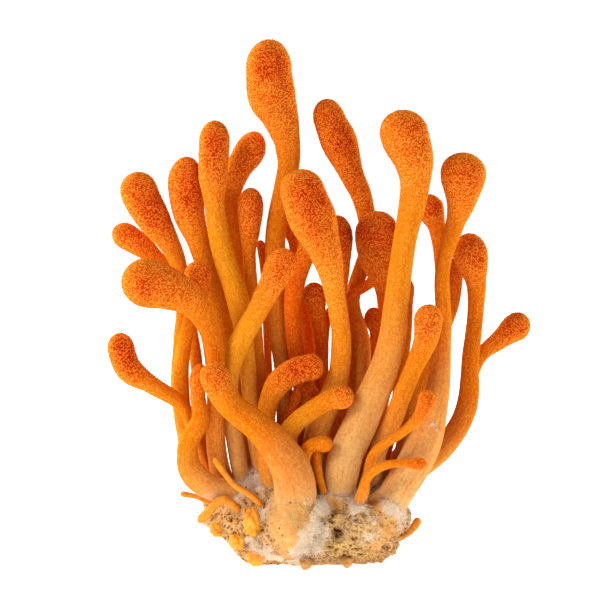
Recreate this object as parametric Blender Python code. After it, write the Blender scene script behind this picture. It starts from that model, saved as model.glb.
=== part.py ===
"""Cordyceps bunch: club-shaped orange fruiting bodies that rise from one flat-cut clump of mycelium.

Metres, +Z up, front towards -Y. The origin is the centre of the clump's flat underside.
Every fruiting body is one solid with its head and stalk together. Its foot is trimmed to the clump.
"""

import math

import bmesh
import bpy
import numpy as np

MM = 0.001
OBJECT_NAME = "cordyceps_bunch"

# The clump: a lumpy ellipsoid, cut flat at z = 0.
CLUMP_CENTRE_MM = (0.0, 0.0, 5.2)
CLUMP_SEMI_AXES_MM = (13.4, 11.0, 6.3)
CLUMP_LUMP_MM = 0.55
CLUMP_SUBDIVISIONS = 4
SEAM_MM = 0.3

# Fruiting bodies: how they are sampled and how far apart they stay.
STEP_MM = 0.8
CLEARANCE_MM = 0.35
EASE_ROUNDS = 60
EASE_WEIGHTS = (0.3, 1.0, 0.3)
EASE_SPREAD_MM = 3.0
EASE_ABOVE_MM = 7.5
ROOT_HEIGHT_MM = 5.0
ROOT_PULL = 0.6
ROOT_TAPER = 0.5
CAP_RINGS = ((0.0, 0.40), (0.2, 0.74), (0.52, 0.95))
RING_SPACING_MM = 7.2
RING_CROWDING = 1.25
STOUT_RADIUS_MM = 1.5

# Stations of each fruiting body from its tip to its foot: x, y, z and radius, in millimetres.
# The second station is where the head is widest, and the dome from the tip to there is a formula.
CLUBS = {
    "tall_centre": (
        (-4.3, 1, 68.2, 0), (-4.75, 1, 64.6, 2.9), (-4.4, 1, 61.0, 3.05), (-3.2, 1, 58.0, 2.3),
        (-2.1, 1, 53.3, 1.45), (-2.5, 1, 49.2, 1.35), (-3.6, 1, 43.3, 1.35),
        (-3.6, 1, 31.4, 1.15), (-2.8, 1, 25.1, 1.1), (-2.0, 0, 11.6, 1.2),
    ),
    "rear_right": (
        (2.6, 4, 60.4, 0), (3.2, 4, 57.7, 2.1), (4.4, 4, 55.0, 2.4), (6.2, 4, 50.3, 1.65),
        (7.6, 4.5, 47.1, 1.4), (8.4, 4.5, 41.1, 1.1), (6.3, 3.5, 33.8, 1.0),
        (7.4, 2.5, 27.9, 1.4), (5.3, 1.5, 10.7, 1.2),
    ),
    "front_right": (
        (12.3, -7, 59.3, 0), (12.6, -7, 56.4, 3.05), (13.9, -7.5, 52.7, 2.45),
        (14.0, -7.5, 49.4, 1.8), (12.5, -7.5, 41.4, 1.4), (11.8, -7.5, 35.5, 1.5),
        (10.8, -7.5, 27.2, 1.8), (7.5, -7.5, 19.8, 2.1), (5.2, -7.5, 13.9, 2.2),
        (4.3, -6.5, 8.8, 1.7),
    ),
    "right_outer": (
        (20.7, -4, 53.7, 0), (20.4, -4, 51.1, 2.9), (20.1, -4, 47.0, 1.8), (19.4, -4, 44.5, 1.2),
        (17.8, -4.5, 38.6, 1.0), (17.9, -5, 30.8, 1.1), (17.1, -5.5, 22.4, 1.7),
        (15.0, -6, 15.3, 2.4), (11.9, -6, 10.0, 2.3), (9.8, -5, 6.5, 1.8),
    ),
    "right_second": (
        (20.9, 0, 42.9, 0), (21.4, 0, 40.1, 2.3), (22.2, 0, 36.3, 1.4), (22.3, 0, 32.2, 1.1),
        (21.8, 0, 26.8, 1.1), (21.2, 0, 19.6, 1.4), (18.4, -0.5, 15.0, 1.45),
        (13.2, -1, 11.0, 1.4),
    ),
    "right_far": (
        (29.9, 4, 30.9, 0), (28.2, 4, 30.3, 1.85), (26.0, 4, 28.6, 1.3), (23.3, 4, 26.3, 0.9),
        (21.9, 4, 22.5, 0.8), (21.0, 3.5, 18.0, 0.8), (18.0, 3.2, 13.4, 0.8), (12.7, 3, 9.0, 0.8),
    ),
    "central_front": (
        (-1.2, -8, 51.7, 0), (-0.35, -8, 48.8, 2.9), (0.8, -8, 45.7, 3.1), (2.4, -8, 41.6, 2.15),
        (3.7, -7, 36.2, 1.45), (4.4, -6, 29.6, 1.3), (3.6, -5, 23.9, 1.5), (1.7, -4.5, 19.0, 1.7),
        (0.1, -4, 12.3, 1.4),
    ),
    "left_tall": (
        (-11.6, -3, 57.8, 0), (-11.75, -3, 55.1, 2.0), (-12.0, -3, 50.7, 1.9),
        (-11.8, -3, 46.9, 1.3), (-10.8, -3, 41.0, 1.4), (-8.9, -3.5, 35.1, 1.45),
        (-7.8, -4, 28.7, 1.0), (-7.2, -4, 22.2, 1.0), (-5.4, -4, 9.6, 1.4),
    ),
    "left_rear": (
        (-15.3, -0.5, 53.0, 0), (-15.6, -0.5, 49.3, 2.35), (-15.3, -0.5, 45.4, 2.0),
        (-13.9, -0.5, 41.5, 1.4), (-11.6, 0, 34.7, 1.3), (-10.0, 0, 28.2, 1.2),
        (-7.9, 0, 10.9, 1.1),
    ),
    "left_outer": (
        (-22.1, 0, 51.0, 0), (-21.5, 0, 48.4, 2.5), (-19.7, 0, 45.2, 2.3),
        (-17.4, 0.5, 41.0, 1.35), (-16.1, 1, 36.1, 0.95), (-16.6, 1, 28.8, 0.8),
        (-16.8, 1.5, 20.7, 0.8), (-13.3, 1.5, 9.3, 0.9),
    ),
    "left_far": (
        (-25.4, 4, 43.2, 0), (-23.7, 4, 42.3, 1.7), (-21.6, 4, 40.9, 1.5), (-19.4, 4, 39.2, 0.9),
        (-17.1, 4, 36.6, 0.8), (-14.5, 4, 27.1, 0.8), (-12.0, 3.5, 9.6, 0.8),
    ),
    "left_bent": (
        (-23.4, -9, 37.9, 0), (-20.2, -9, 37.3, 3.1), (-16.9, -9, 36.3, 2.6),
        (-14.4, -9, 34.8, 1.9), (-12.7, -8.5, 31.9, 1.4), (-11.8, -8, 27.4, 1.2),
        (-11.6, -7, 22.0, 1.2), (-10.8, -6, 10.7, 1.2),
    ),
    "left_small": (
        (-13.6, -4, 39.6, 0), (-13.9, -4, 37.9, 1.8), (-13.6, -4, 35.7, 1.2),
        (-15.0, -4, 31.8, 1.0), (-16.0, -3, 27.3, 1.0), (-16.2, -2, 20.2, 1.2),
        (-13.8, -1.5, 10.5, 1.1),
    ),
    "front_left": (
        (-12.0, -13, 27.6, 0), (-11.5, -13, 25.8, 1.8), (-9.8, -13, 22.6, 1.6),
        (-6.6, -12.5, 19.8, 1.7), (-4.1, -12, 17.4, 2.0), (-1.9, -11.5, 14.1, 2.4),
        (-1.2, -10.5, 10.6, 2.6), (-1.6, -8.6, 7.0, 2.2),
    ),
    "pale_diagonal": (
        (-1.9, -7.5, 41.4, 0), (-3.1, -7.5, 39.4, 2.0), (-4.6, -7.5, 36.4, 1.6),
        (-6.5, -7, 32.8, 1.4), (-8.8, -6.5, 28.7, 1.45), (-10.1, -5.7, 24.5, 1.35),
        (-9.9, -5.5, 19.5, 1.3), (-8.5, -5, 11.4, 1.2),
    ),
    "arching_right": (
        (2.7, -6, 26.4, 0), (1.4, -6, 26.1, 1.7), (-0.7, -6, 25.7, 1.7), (-3.2, -6, 24.2, 1.6),
        (-4.7, -6, 21.2, 1.2), (-4.7, -6, 17.2, 1.2), (-3.9, -6, 10.7, 1.2),
    ),
    "small_front": (
        (6.4, -9, 22.8, 0), (5.0, -9, 22.6, 1.5), (2.9, -9, 22.1, 1.2), (-0.9, -8.5, 19.3, 1.2),
        (-2.2, -8, 16.9, 1.3), (-1.3, -6.5, 11.2, 1.2),
    ),
    "tiny_front": (
        (3.3, -10, 16.9, 0), (2.2, -10, 16.8, 1.1), (0.3, -9.4, 16.6, 0.9),
        (-0.9, -8.2, 15.0, 0.9), (-0.6, -6.6, 11.0, 0.8),
    ),
    "left_curl": (
        (-12.6, -8, 25.7, 0), (-13.0, -8, 24.7, 1.0), (-13.4, -8, 23.1, 0.9),
        (-13.1, -8, 19.8, 1.1), (-14.8, -8, 16.6, 1.25), (-14.9, -8, 14.5, 1.4),
        (-13.9, -7.5, 12.3, 1.6), (-12.1, -6.5, 10.6, 1.55), (-9.8, -5.5, 9.7, 1.3),
    ),
    "left_low": (
        (-23.7, -8, 30.8, 0), (-23.6, -8, 28.7, 1.75), (-22.6, -8, 26.1, 1.7),
        (-19.6, -7.5, 23.9, 1.15), (-15.7, -6, 21.2, 0.95), (-14.3, -4.5, 17.7, 0.8),
        (-11.8, -4, 10.7, 0.8),
    ),
    "left_knob": (
        (-13.3, -5.5, 26.4, 0), (-14.0, -5.5, 24.8, 1.0), (-14.2, -5, 22.3, 0.8),
        (-13.1, -3.5, 16.2, 0.7), (-10.1, -3, 10.8, 0.7),
    ),
    "upper_left_second": (
        (-6.2, 2.5, 56.1, 0), (-7.3, 2.5, 53.5, 1.95), (-8.8, 2.5, 51.1, 1.6),
        (-9.7, 2.5, 47.4, 1.15), (-9.3, 3, 40.5, 1.1), (-8.2, 3, 29.9, 1.1),
        (-5.7, 2.5, 10.5, 1.1),
    ),
    "red_small": (
        (-7.1, -1, 49.0, 0), (-7.1, -1, 46.6, 1.7), (-7.2, -1, 43.6, 1.4), (-7.3, -1, 40.0, 0.9),
        (-6.6, -1, 32.3, 0.9), (-5.8, -1, 22.4, 0.9), (-4.3, -1, 11.1, 0.9),
    ),
    "tiny_knob": (
        (-6.0, 3.5, 41.8, 0), (-5.8, 3.5, 41.0, 0.6), (-5.4, 3.5, 37.2, 0.5),
        (-5.0, 3.5, 27.1, 0.5), (-4.0, 3, 10.4, 0.7),
    ),
    "thin_behind_red": (
        (-2.5, 2, 46.2, 0), (-2.4, 2, 44.3, 1.2), (-1.6, 2, 41.1, 0.7), (-1.7, 2, 34.0, 0.6),
        (-2.4, 2, 24.7, 0.85), (-2.7, 2, 10.6, 0.7),
    ),
    "behind_central": (
        (1.4, -1.5, 48.1, 0), (1.3, -1.5, 46.1, 1.8), (0.5, -1.5, 41.6, 1.35),
        (-1.3, -1.5, 36.3, 1.25), (-1.6, -1, 31.0, 1.1), (-0.4, -1, 21.1, 1.1),
        (-0.4, -1, 11.1, 1.1),
    ),
    "dark_low_centre": (
        (0.7, 1.5, 36.3, 0), (1.2, 1.5, 34.8, 1.5), (1.7, 1.5, 32.1, 1.0), (2.2, 1.5, 28.1, 0.9),
        (1.3, 1.5, 10.7, 0.8),
    ),
    "dark_centre_right": (
        (4.3, 0.5, 45.3, 0), (4.6, 0.5, 42.6, 1.8), (4.9, 0.5, 38.6, 1.15), (4.7, 0.5, 34.1, 0.8),
        (5.4, 0.5, 27.5, 0.8), (3.3, 0, 10.9, 0.9),
    ),
    "crossing_branch": (
        (9.9, 3, 37.9, 0), (9.3, 3, 36.9, 1.1), (8.5, 3, 36.1, 0.7), (5.4, 3, 34.0, 0.6),
        (3.3, 3.5, 32.2, 0.6), (2.6, 3.5, 28.5, 0.6), (2.6, 3.5, 10.3, 0.7),
    ),
    "dark_right_low": (
        (8.9, 4, 32.7, 0), (8.9, 4, 31.1, 1.3), (9.2, 4, 29.2, 0.8), (8.9, 4, 24.0, 0.8),
        (8.4, 3.5, 10.3, 0.8),
    ),
    "dark_red_big": (
        (9.5, 0, 45.9, 0), (9.3, 0, 42.7, 2.9), (9.4, 0, 39.9, 2.5), (10.4, -0.5, 35.6, 1.4),
        (10.9, -1, 32.3, 1.1), (10.3, -2, 25.2, 1.0), (7.9, -2, 11.3, 1.2),
    ),
    "small_behind_right": (
        (13.1, 1.5, 37.0, 0), (13.3, 1.5, 35.6, 1.1), (13.5, 1.5, 33.0, 0.7),
        (13.2, 1.5, 27.9, 0.7), (10.6, 1, 10.7, 0.8),
    ),
    "right_front": (
        (15.8, -9, 34.6, 0), (15.7, -9, 32.6, 1.8), (15.4, -9, 30.2, 1.55),
        (13.5, -8.5, 26.0, 1.2), (12.3, -8, 23.0, 1.25), (11.2, -7, 19.6, 1.25),
        (9.6, -5.5, 15.4, 1.2), (8.9, -4, 11.2, 1.1),
    ),
    "right_inner": (
        (19.7, 1.5, 39.6, 0), (19.7, 1.5, 38.0, 1.2), (19.6, 1.5, 34.7, 0.95),
        (18.3, 1.5, 29.4, 0.85), (15.9, 1, 23.5, 1.0), (13.7, 1, 19.0, 1.0),
        (11.2, 0.5, 10.2, 1.1),
    ),
    "upper_right_rear": (
        (16.1, 0, 48.1, 0), (16.3, 0, 46.2, 1.8), (17.3, 0, 43.7, 1.1), (18.0, 0.5, 39.4, 0.9),
        (18.1, 1, 30.1, 0.9), (15.9, 2, 16.6, 0.9), (10.7, 2, 9.9, 1.1),
    ),
    "small_right_front": (
        (15.5, -11.5, 23.9, 0), (15.4, -11.5, 22.7, 1.1), (14.4, -11.5, 20.4, 0.8),
        (12.1, -11, 18.2, 0.6), (8.7, -9.5, 15.7, 0.7), (7.4, -7, 11.5, 0.8),
    ),
    "low_right": (
        (15.5, -12, 14.5, 0), (14.5, -12, 14.5, 0.8), (12.1, -12, 14.6, 0.5),
        (9.5, -11.5, 14.0, 0.6), (7.8, -10.5, 12.5, 0.6), (7.2, -9, 10.3, 0.8),
    ),
    "small_blunt": (
        (0.5, -3, 23.5, 0), (0.5, -3, 22.2, 1.2), (-0.3, -3, 20.3, 0.8), (-0.5, -2.5, 11.4, 0.8),
    ),
    "dark_s_stem": (
        (-1.0, -3.8, 23.1, 0), (-1.0, -3.8, 21.9, 0.7), (-2.0, -3.6, 19.5, 0.7),
        (-1.2, -3.5, 16.2, 0.6), (-1.7, -3.2, 11.1, 0.7),
    ),
    "low_stub_front": (
        (1.4, -8, 15.7, 0), (1.4, -8, 14.8, 0.6), (1.9, -8, 12.3, 0.5), (2.6, -8, 9.5, 0.5),
    ),
    "rear_centre": (
        (-4.8, 7, 66.0, 0), (-4.8, 7, 63.4, 2.3), (-3.1, 7, 56.5, 1.5), (-2.4, 7, 48.9, 1.0),
        (-3.9, 7, 42.2, 1.1), (-2.6, 7, 37.6, 1.0), (-0.2, 7, 32.0, 0.9), (0.5, 7, 26.0, 0.9),
        (0.1, 6.5, 18.0, 0.9), (-1.2, 6, 9.9, 1.0),
    ),
    "rear_right_tall": (
        (13.5, 5.5, 57.3, 0), (13.5, 5.5, 54.7, 2.1), (14.2, 5.5, 48.6, 1.2), (13.0, 6, 40.3, 1.1),
        (12.3, 6, 33.6, 1.1), (11.2, 6.5, 25.4, 1.1), (7.4, 6.5, 9.8, 1.1),
    ),
    "rear_middle": (
        (0.0, 7, 49.2, 0), (0.5, 7, 46.2, 2.1), (2.4, 7, 40.9, 1.2), (4.0, 7, 34.8, 1.0),
        (4.5, 7.5, 26.6, 1.0), (2.0, 7.5, 9.6, 1.1),
    ),
    "rear_left_tall": (
        (-12.4, 7, 55.7, 0), (-12.4, 7, 53.6, 1.5), (-12.3, 7, 46.9, 0.9), (-11.1, 7, 40.2, 0.9),
        (-9.1, 7, 33.5, 1.0), (-7.8, 7, 24.0, 0.8), (-6.7, 7, 9.7, 0.9),
    ),
    "rear_left": (
        (-15.6, 5, 50.3, 0), (-15.7, 5, 47.7, 1.7), (-14.4, 5, 41.7, 1.0), (-12.1, 5, 35.0, 0.8),
        (-10.3, 5.5, 26.9, 0.8), (-8.5, 6, 9.9, 0.9),
    ),
    "rear_left_short": (
        (-22.3, 1.5, 36.2, 0), (-20.2, 1.5, 36.0, 2.0), (-16.0, 2, 34.4, 1.2),
        (-13.3, 3, 29.9, 0.9), (-12.4, 4, 23.1, 0.9), (-10.3, 5, 9.6, 0.9),
    ),
    "rear_right_second": (
        (22.2, 6, 41.2, 0), (22.2, 6, 39.1, 1.6), (22.7, 6, 33.6, 0.7), (22.2, 5.5, 26.1, 0.7),
        (21.6, 5, 18.9, 0.9), (18.4, 5, 13.8, 0.9), (12.1, 5, 9.1, 1.0),
    ),
    "rear_right_outer": (
        (20.9, 4.5, 52.0, 0), (20.9, 4.5, 50.0, 2.0), (19.9, 4.5, 44.1, 0.9), (18.3, 4, 37.8, 0.8),
        (18.4, 4, 29.8, 0.8), (17.5, 4, 21.0, 1.1), (10.7, 4, 9.8, 1.1),
    ),
    "rear_red": (
        (9.5, 7.5, 43.9, 0), (9.5, 7.5, 41.5, 2.0), (10.5, 7.5, 34.8, 1.0), (10.7, 8, 27.3, 0.9),
        (6.1, 8, 9.1, 1.0),
    ),
}

# Thin outgrowths of the clump, tip first like the clubs.
SPURS = {
    "left_spur": (
        (-16.3, -4.5, 9.3, 0), (-15.8, -4.5, 9.2, 0.4), (-14.2, -4.2, 8.8, 0.35),
        (-11.0, -3.5, 7.2, 0.5),
    ),
    "right_spur": (
        (14.9, -3.8, 6.0, 0), (14.6, -3.7, 5.3, 0.55), (13.7, -3.3, 3.9, 0.4),
        (11.4, -2.6, 2.6, 0.6),
    ),
    "left_stub": (
        (-13.8, -7.8, 6.5, 0), (-13.2, -7.9, 7.2, 0.65), (-12.0, -8.3, 8.8, 0.5),
        (-10.7, -8.7, 9.9, 0.5), (-9.3, -7.8, 8.9, 0.5), (-8.4, -6.2, 7.4, 0.6),
    ),
    "front_strand": (
        (-11.7, -9.8, 14.9, 0), (-11.3, -9.9, 14.3, 0.45), (-10.2, -10.1, 12.8, 0.4),
        (-8.9, -10.3, 11.3, 0.4), (-7.2, -10.2, 10.3, 0.45), (-5.9, -9.8, 9.0, 0.45),
        (-5.3, -7.6, 7.4, 0.5),
    ),
}

# Round primordia on the clump: centre and radius in millimetres.
NODULES = {
    "nodule_strand_end": (-6.7, -9.7, 6.6, 1.4),
    "nodule_left": (-11.4, -6.4, 5.0, 1.0),
    "nodule_lower_left": (-8.8, -8.4, 3.8, 1.1),
    "nodule_bottom_left": (-6.4, -8.6, 1.8, 1.2),
    "knob_bottom_centre": (0.1, -8.9, 0.9, 0.8),
    "knob_bottom_right": (5.4, -7.6, 0.9, 0.8),
}

# name: (base colour, roughness)
FINISHES = {
    "orange_flesh": ((0.80, 0.27, 0.04, 1.0), 0.55),
    "pale_flesh": ((0.86, 0.48, 0.17, 1.0), 0.55),
    "dark_flesh": ((0.60, 0.13, 0.02, 1.0), 0.6),
    "mycelium": ((0.78, 0.66, 0.50, 1.0), 0.85),
    "yellow_primordium": ((0.85, 0.45, 0.08, 1.0), 0.6),
}
PALE_CLUBS = (
    "front_right", "right_outer", "front_left", "pale_diagonal", "small_front", "left_curl",
    "right_front",
)
DARK_CLUBS = (
    "dark_red_big", "dark_low_centre", "dark_centre_right", "dark_right_low", "dark_s_stem",
    "crossing_branch", "small_behind_right", "behind_central", "rear_red", "rear_middle",
)


def clear_scene():
    """Remove every object of the open file."""
    for item in list(bpy.data.objects):
        bpy.data.objects.remove(item, do_unlink=True)


def new_collection(name, hidden=False):
    """Make a collection under the scene's own."""
    collection = bpy.data.collections.new(name)
    bpy.context.scene.collection.children.link(collection)
    collection.hide_render = hidden
    return collection


def make_material(name):
    """Make the Principled material of one finish."""
    colour, roughness = FINISHES[name]
    material = bpy.data.materials.new(name)
    material.use_nodes = True
    shader = material.node_tree.nodes["Principled BSDF"]
    shader.inputs["Base Color"].default_value = colour
    shader.inputs["Roughness"].default_value = roughness
    shader.inputs["Metallic"].default_value = 0.0
    material.diffuse_color = colour
    return material


def hermite(start, end, slope_start, slope_end, share):
    """Cubic between two values, with their slopes already times the interval."""
    rest = 1 - share
    return (
        (1 + 2 * share) * rest**2 * start
        + share * rest**2 * slope_start
        + share**2 * (3 - 2 * share) * end
        - share**2 * rest * slope_end
    )


def smooth_centreline(points):
    """Dense points of a smooth curve through the stations, and each station's distance along it."""
    gaps = np.sqrt(np.linalg.norm(np.diff(points, axis=0), axis=1))
    knots = np.concatenate(([0.0], np.cumsum(gaps)))
    steps = np.diff(points, axis=0) / gaps[:, None]
    tangents = np.vstack((steps[:1], steps))
    before, after = gaps[:-1, None], gaps[1:, None]
    tangents[1:-1] = (after * steps[:-1] + before * steps[1:]) / (before + after)
    query = np.linspace(0.0, knots[-1], 600)
    at = np.clip(np.searchsorted(knots, query) - 1, 0, len(gaps) - 1)
    width = gaps[at][:, None]
    share = (query - knots[at])[:, None] / width
    line = hermite(points[at], points[at + 1], width * tangents[at], width * tangents[at + 1], share)
    along = np.concatenate(([0.0], np.cumsum(np.linalg.norm(np.diff(line, axis=0), axis=1))))
    return line, along, np.interp(knots, query, along)


def monotone(positions, values, query):
    """Cubic interpolation that never swings past its values, level at the first one."""
    widths = np.diff(positions)
    slopes = np.diff(values) / widths
    tangents = np.zeros(len(values))
    left, right = slopes[:-1], slopes[1:]
    same_way = left * right > 0
    tangents[1:-1][same_way] = 2 * (left * right)[same_way] / (left + right)[same_way]
    tangents[-1] = slopes[-1]
    at = np.clip(np.searchsorted(positions, query) - 1, 0, len(widths) - 1)
    share = (query - positions[at]) / widths[at]
    return hermite(
        values[at], values[at + 1], widths[at] * tangents[at], widths[at] * tangents[at + 1], share
    )


def rooted(stations):
    """Add a last station inside the clump, so that every foot ends in it."""
    x, y, _, radius = stations[-1]
    return (*stations, (x * ROOT_PULL, y * ROOT_PULL, ROOT_HEIGHT_MM, radius * ROOT_TAPER))


def sample_route(stations):
    """Even samples of one route: points, radii and distances along it, in millimetres."""
    table = np.array(stations, dtype=float)
    line, along, marks = smooth_centreline(table[:, :3])
    count = max(8, round(along[-1] / STEP_MM)) + 1
    distance = np.linspace(0.0, along[-1], count)
    points = np.stack([np.interp(distance, along, line[:, axis]) for axis in range(3)], axis=1)
    dome = marks[1]
    shaft = monotone(marks[1:], table[1:, 3], np.maximum(distance, dome))
    height = np.clip(1 - distance / dome, 0.0, 1.0)
    radii = np.where(distance < dome, table[1, 3] * np.sqrt(1 - height**2), shaft)
    return points, radii, distance, dome


def ease_apart(routes):
    """Move routes that press into each other apart, mostly front to back, and keep their curves smooth."""
    sizes = [len(route[0]) for route in routes]
    ends = np.cumsum(sizes)
    owner = np.repeat(np.arange(len(routes)), sizes)
    points = np.concatenate([route[0] for route in routes])
    radii = np.concatenate([route[1] for route in routes])
    reach = radii[:, None] + radii[None, :] + CLEARANCE_MM
    reach[owner[:, None] == owner[None, :]] = 0.0
    weights = np.array(EASE_WEIGHTS)
    rows = np.arange(len(points))
    for _ in range(EASE_ROUNDS):
        apart = np.sqrt(((points[:, None] - points[None]) ** 2).sum(axis=2))
        press = np.maximum(reach - apart, 0.0)
        low = points[:, 2] < EASE_ABOVE_MM
        press[low] = 0.0
        press[:, low] = 0.0
        other = press.argmax(axis=1)
        depth = press[rows, other]
        if depth.max() < 0.02:
            break
        away = (points - points[other]) / np.maximum(apart[rows, other], 1e-6)[:, None]
        push = away * weights
        push /= np.maximum((away * push).sum(axis=1), 0.15)[:, None]
        push *= 0.5 * depth[:, None]
        for first, last in zip(ends - sizes, ends):
            here = depth[first:last]
            if here.max() <= 0:
                continue
            index = np.arange(last - first)
            offset = (index[:, None] - index[None, :]) * STEP_MM / EASE_SPREAD_MM
            near = np.exp(-0.5 * offset**2)
            share = near * here
            total = np.maximum(share.sum(axis=1), 1e-9)[:, None]
            fade = (near * (here > 0)).max(axis=1)[:, None]
            points[first:last] += 0.7 * (share @ push[first:last]) / total * fade
    return [points[first:last] for first, last in zip(ends - sizes, ends)]


def ring_distances(length, dome):
    """Distances of the rings along a club: close together on the dome, wider towards the foot."""
    count = max(3, round((length - dome) / RING_SPACING_MM))
    steps = (np.arange(count + 1) / count) ** RING_CROWDING
    return dome + (length - dome) * steps


def tube_mesh(name, points, radii, sides, material, collection):
    """A capped tube along a path, as a mesh object. Points and radii are in millimetres."""
    curve = bpy.data.curves.new(name, "CURVE")
    curve.dimensions = "3D"
    curve.bevel_depth = MM
    curve.bevel_resolution = sides // 2 - 2
    curve.use_fill_caps = True
    spline = curve.splines.new("POLY")
    spline.points.add(len(points) - 1)
    for knot, place, radius in zip(spline.points, points, radii):
        knot.co = (place[0] * MM, place[1] * MM, place[2] * MM, 1.0)
        knot.radius = radius
    tube = bpy.data.objects.new(name + "_curve", curve)
    collection.objects.link(tube)
    evaluated = tube.evaluated_get(bpy.context.evaluated_depsgraph_get())
    mesh = bpy.data.meshes.new_from_object(evaluated)
    weld = bmesh.new()
    weld.from_mesh(mesh)
    bmesh.ops.remove_doubles(weld, verts=weld.verts, dist=1e-6)
    bmesh.ops.recalc_face_normals(weld, faces=weld.faces)
    weld.to_mesh(mesh)
    weld.free()
    mesh.name = name
    mesh.materials.clear()
    mesh.materials.append(material)
    piece = bpy.data.objects.new(name, mesh)
    piece.matrix_world = tube.matrix_world.copy()
    bpy.data.objects.remove(tube, do_unlink=True)
    collection.objects.link(piece)
    return piece


def make_club(name, points, route, material, collection):
    """One fruiting body: dome, head, neck and stalk in one solid."""
    _, radii, distance, dome = route
    rings = ring_distances(distance[-1], dome)
    places = [share * dome for share, _ in CAP_RINGS] + list(rings)
    widths = [share * np.interp(dome, distance, radii) for _, share in CAP_RINGS]
    widths += list(np.interp(rings, distance, radii))
    path = np.stack([np.interp(places, distance, points[:, axis]) for axis in range(3)], axis=1)
    sides = 8 if max(widths) > STOUT_RADIUS_MM else 6
    return tube_mesh(name, path, widths, sides, material, collection)


def lump_height(direction):
    """Height of the clump's lumps, in millimetres, in one direction from its centre."""
    x, y, z = direction
    waves = (
        math.sin(5.1 * x + 1.3) * math.cos(4.3 * y - 0.4)
        + 0.7 * math.sin(7.9 * y + 3.1 * z + 0.9)
        + 0.6 * math.cos(9.7 * x - 5.3 * z + 2.0)
    )
    return CLUMP_LUMP_MM * waves


def make_clump(name, grow, cut_flat, material, collection):
    """The lumpy ellipsoid, grown outward by some millimetres, and cut flat at z = 0 if asked."""
    mesh = bpy.data.meshes.new(name)
    shape = bmesh.new()
    bmesh.ops.create_icosphere(shape, subdivisions=CLUMP_SUBDIVISIONS, radius=1.0)
    for vertex in shape.verts:
        direction = vertex.co.normalized()
        outward = [direction[k] / CLUMP_SEMI_AXES_MM[k] for k in range(3)]
        size = math.sqrt(sum(value * value for value in outward))
        rise = lump_height(direction) + grow
        vertex.co = [
            (CLUMP_CENTRE_MM[k] + direction[k] * CLUMP_SEMI_AXES_MM[k] + rise * outward[k] / size) * MM
            for k in range(3)
        ]
    if cut_flat:
        everything = shape.verts[:] + shape.edges[:] + shape.faces[:]
        bmesh.ops.bisect_plane(
            shape, geom=everything, plane_co=(0, 0, 0), plane_no=(0, 0, 1), clear_inner=True
        )
        rim = [edge for edge in shape.edges if edge.is_boundary]
        bmesh.ops.contextual_create(shape, geom=rim)
    bmesh.ops.recalc_face_normals(shape, faces=shape.faces)
    shape.to_mesh(mesh)
    shape.free()
    mesh.materials.append(material)
    clump = bpy.data.objects.new(name, mesh)
    collection.objects.link(clump)
    return clump


def make_nodule(name, material, collection):
    """A round primordium as a small sphere."""
    x, y, z, radius = NODULES[name]
    mesh = bpy.data.meshes.new(name)
    shape = bmesh.new()
    bmesh.ops.create_icosphere(shape, subdivisions=2, radius=radius * MM)
    bmesh.ops.translate(shape, verts=shape.verts, vec=(x * MM, y * MM, z * MM))
    shape.to_mesh(mesh)
    shape.free()
    mesh.materials.append(material)
    nodule = bpy.data.objects.new(name, mesh)
    collection.objects.link(nodule)
    return nodule


def trim(piece, cutter):
    """Cut a piece back to the seam around the clump."""
    cut = piece.modifiers.new("foot_trim", "BOOLEAN")
    cut.operation = "DIFFERENCE"
    cut.solver = "EXACT"
    cut.object = cutter


def finish_of(name):
    """Which finish a fruiting body has."""
    if name in PALE_CLUBS:
        return "pale_flesh"
    return "dark_flesh" if name in DARK_CLUBS else "orange_flesh"


def main():
    clear_scene()
    parts = new_collection(OBJECT_NAME)
    cutters = new_collection("cutters", hidden=True)
    materials = {name: make_material(name) for name in FINISHES}

    make_clump("root_clump", 0.0, True, materials["mycelium"], parts)
    cutter = make_clump("clump_cutter", SEAM_MM, False, materials["mycelium"], cutters)
    cutter.hide_render = True
    cutter.display_type = "WIRE"

    routes = {name: sample_route(rooted(stations)) for name, stations in CLUBS.items()}
    routes.update({name: sample_route(stations) for name, stations in SPURS.items()})
    eased = ease_apart(list(routes.values()))
    for (name, route), points in zip(routes.items(), eased):
        material = materials["yellow_primordium" if name in SPURS else finish_of(name)]
        trim(make_club(name, points, route, material, parts), cutter)
    for name in NODULES:
        trim(make_nodule(name, materials["yellow_primordium"], parts), cutter)


main()
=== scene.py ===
"""Looks of the cordyceps bunch: grainy orange heads, fibrous stalks and a clump of crumb and cotton.

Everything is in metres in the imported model's frame: +Z up, front towards -Y, and the origin in the
middle of the clump's flat underside. Lengths in the tables are in millimetres, and MM turns them into metres.
"""

import logging
import math
from dataclasses import dataclass, field
from enum import Enum

import bpy
import numpy as np
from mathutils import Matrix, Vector

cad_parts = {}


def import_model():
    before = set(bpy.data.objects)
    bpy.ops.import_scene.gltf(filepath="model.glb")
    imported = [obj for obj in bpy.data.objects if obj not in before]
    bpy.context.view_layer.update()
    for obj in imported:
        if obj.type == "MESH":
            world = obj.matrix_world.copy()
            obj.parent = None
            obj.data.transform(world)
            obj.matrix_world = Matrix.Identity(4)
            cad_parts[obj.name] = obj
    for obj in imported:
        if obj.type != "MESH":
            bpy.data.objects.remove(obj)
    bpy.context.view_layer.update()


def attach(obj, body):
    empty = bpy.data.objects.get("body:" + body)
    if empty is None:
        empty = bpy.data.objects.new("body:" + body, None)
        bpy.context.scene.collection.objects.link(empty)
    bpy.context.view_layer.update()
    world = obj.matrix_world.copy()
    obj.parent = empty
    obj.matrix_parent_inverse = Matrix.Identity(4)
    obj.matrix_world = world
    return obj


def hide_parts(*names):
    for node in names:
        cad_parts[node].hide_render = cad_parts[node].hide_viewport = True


logging.basicConfig(level=logging.INFO, format="%(message)s")
LOG = logging.getLogger("cordyceps")

MM = 0.001
BODY = "root"

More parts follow.
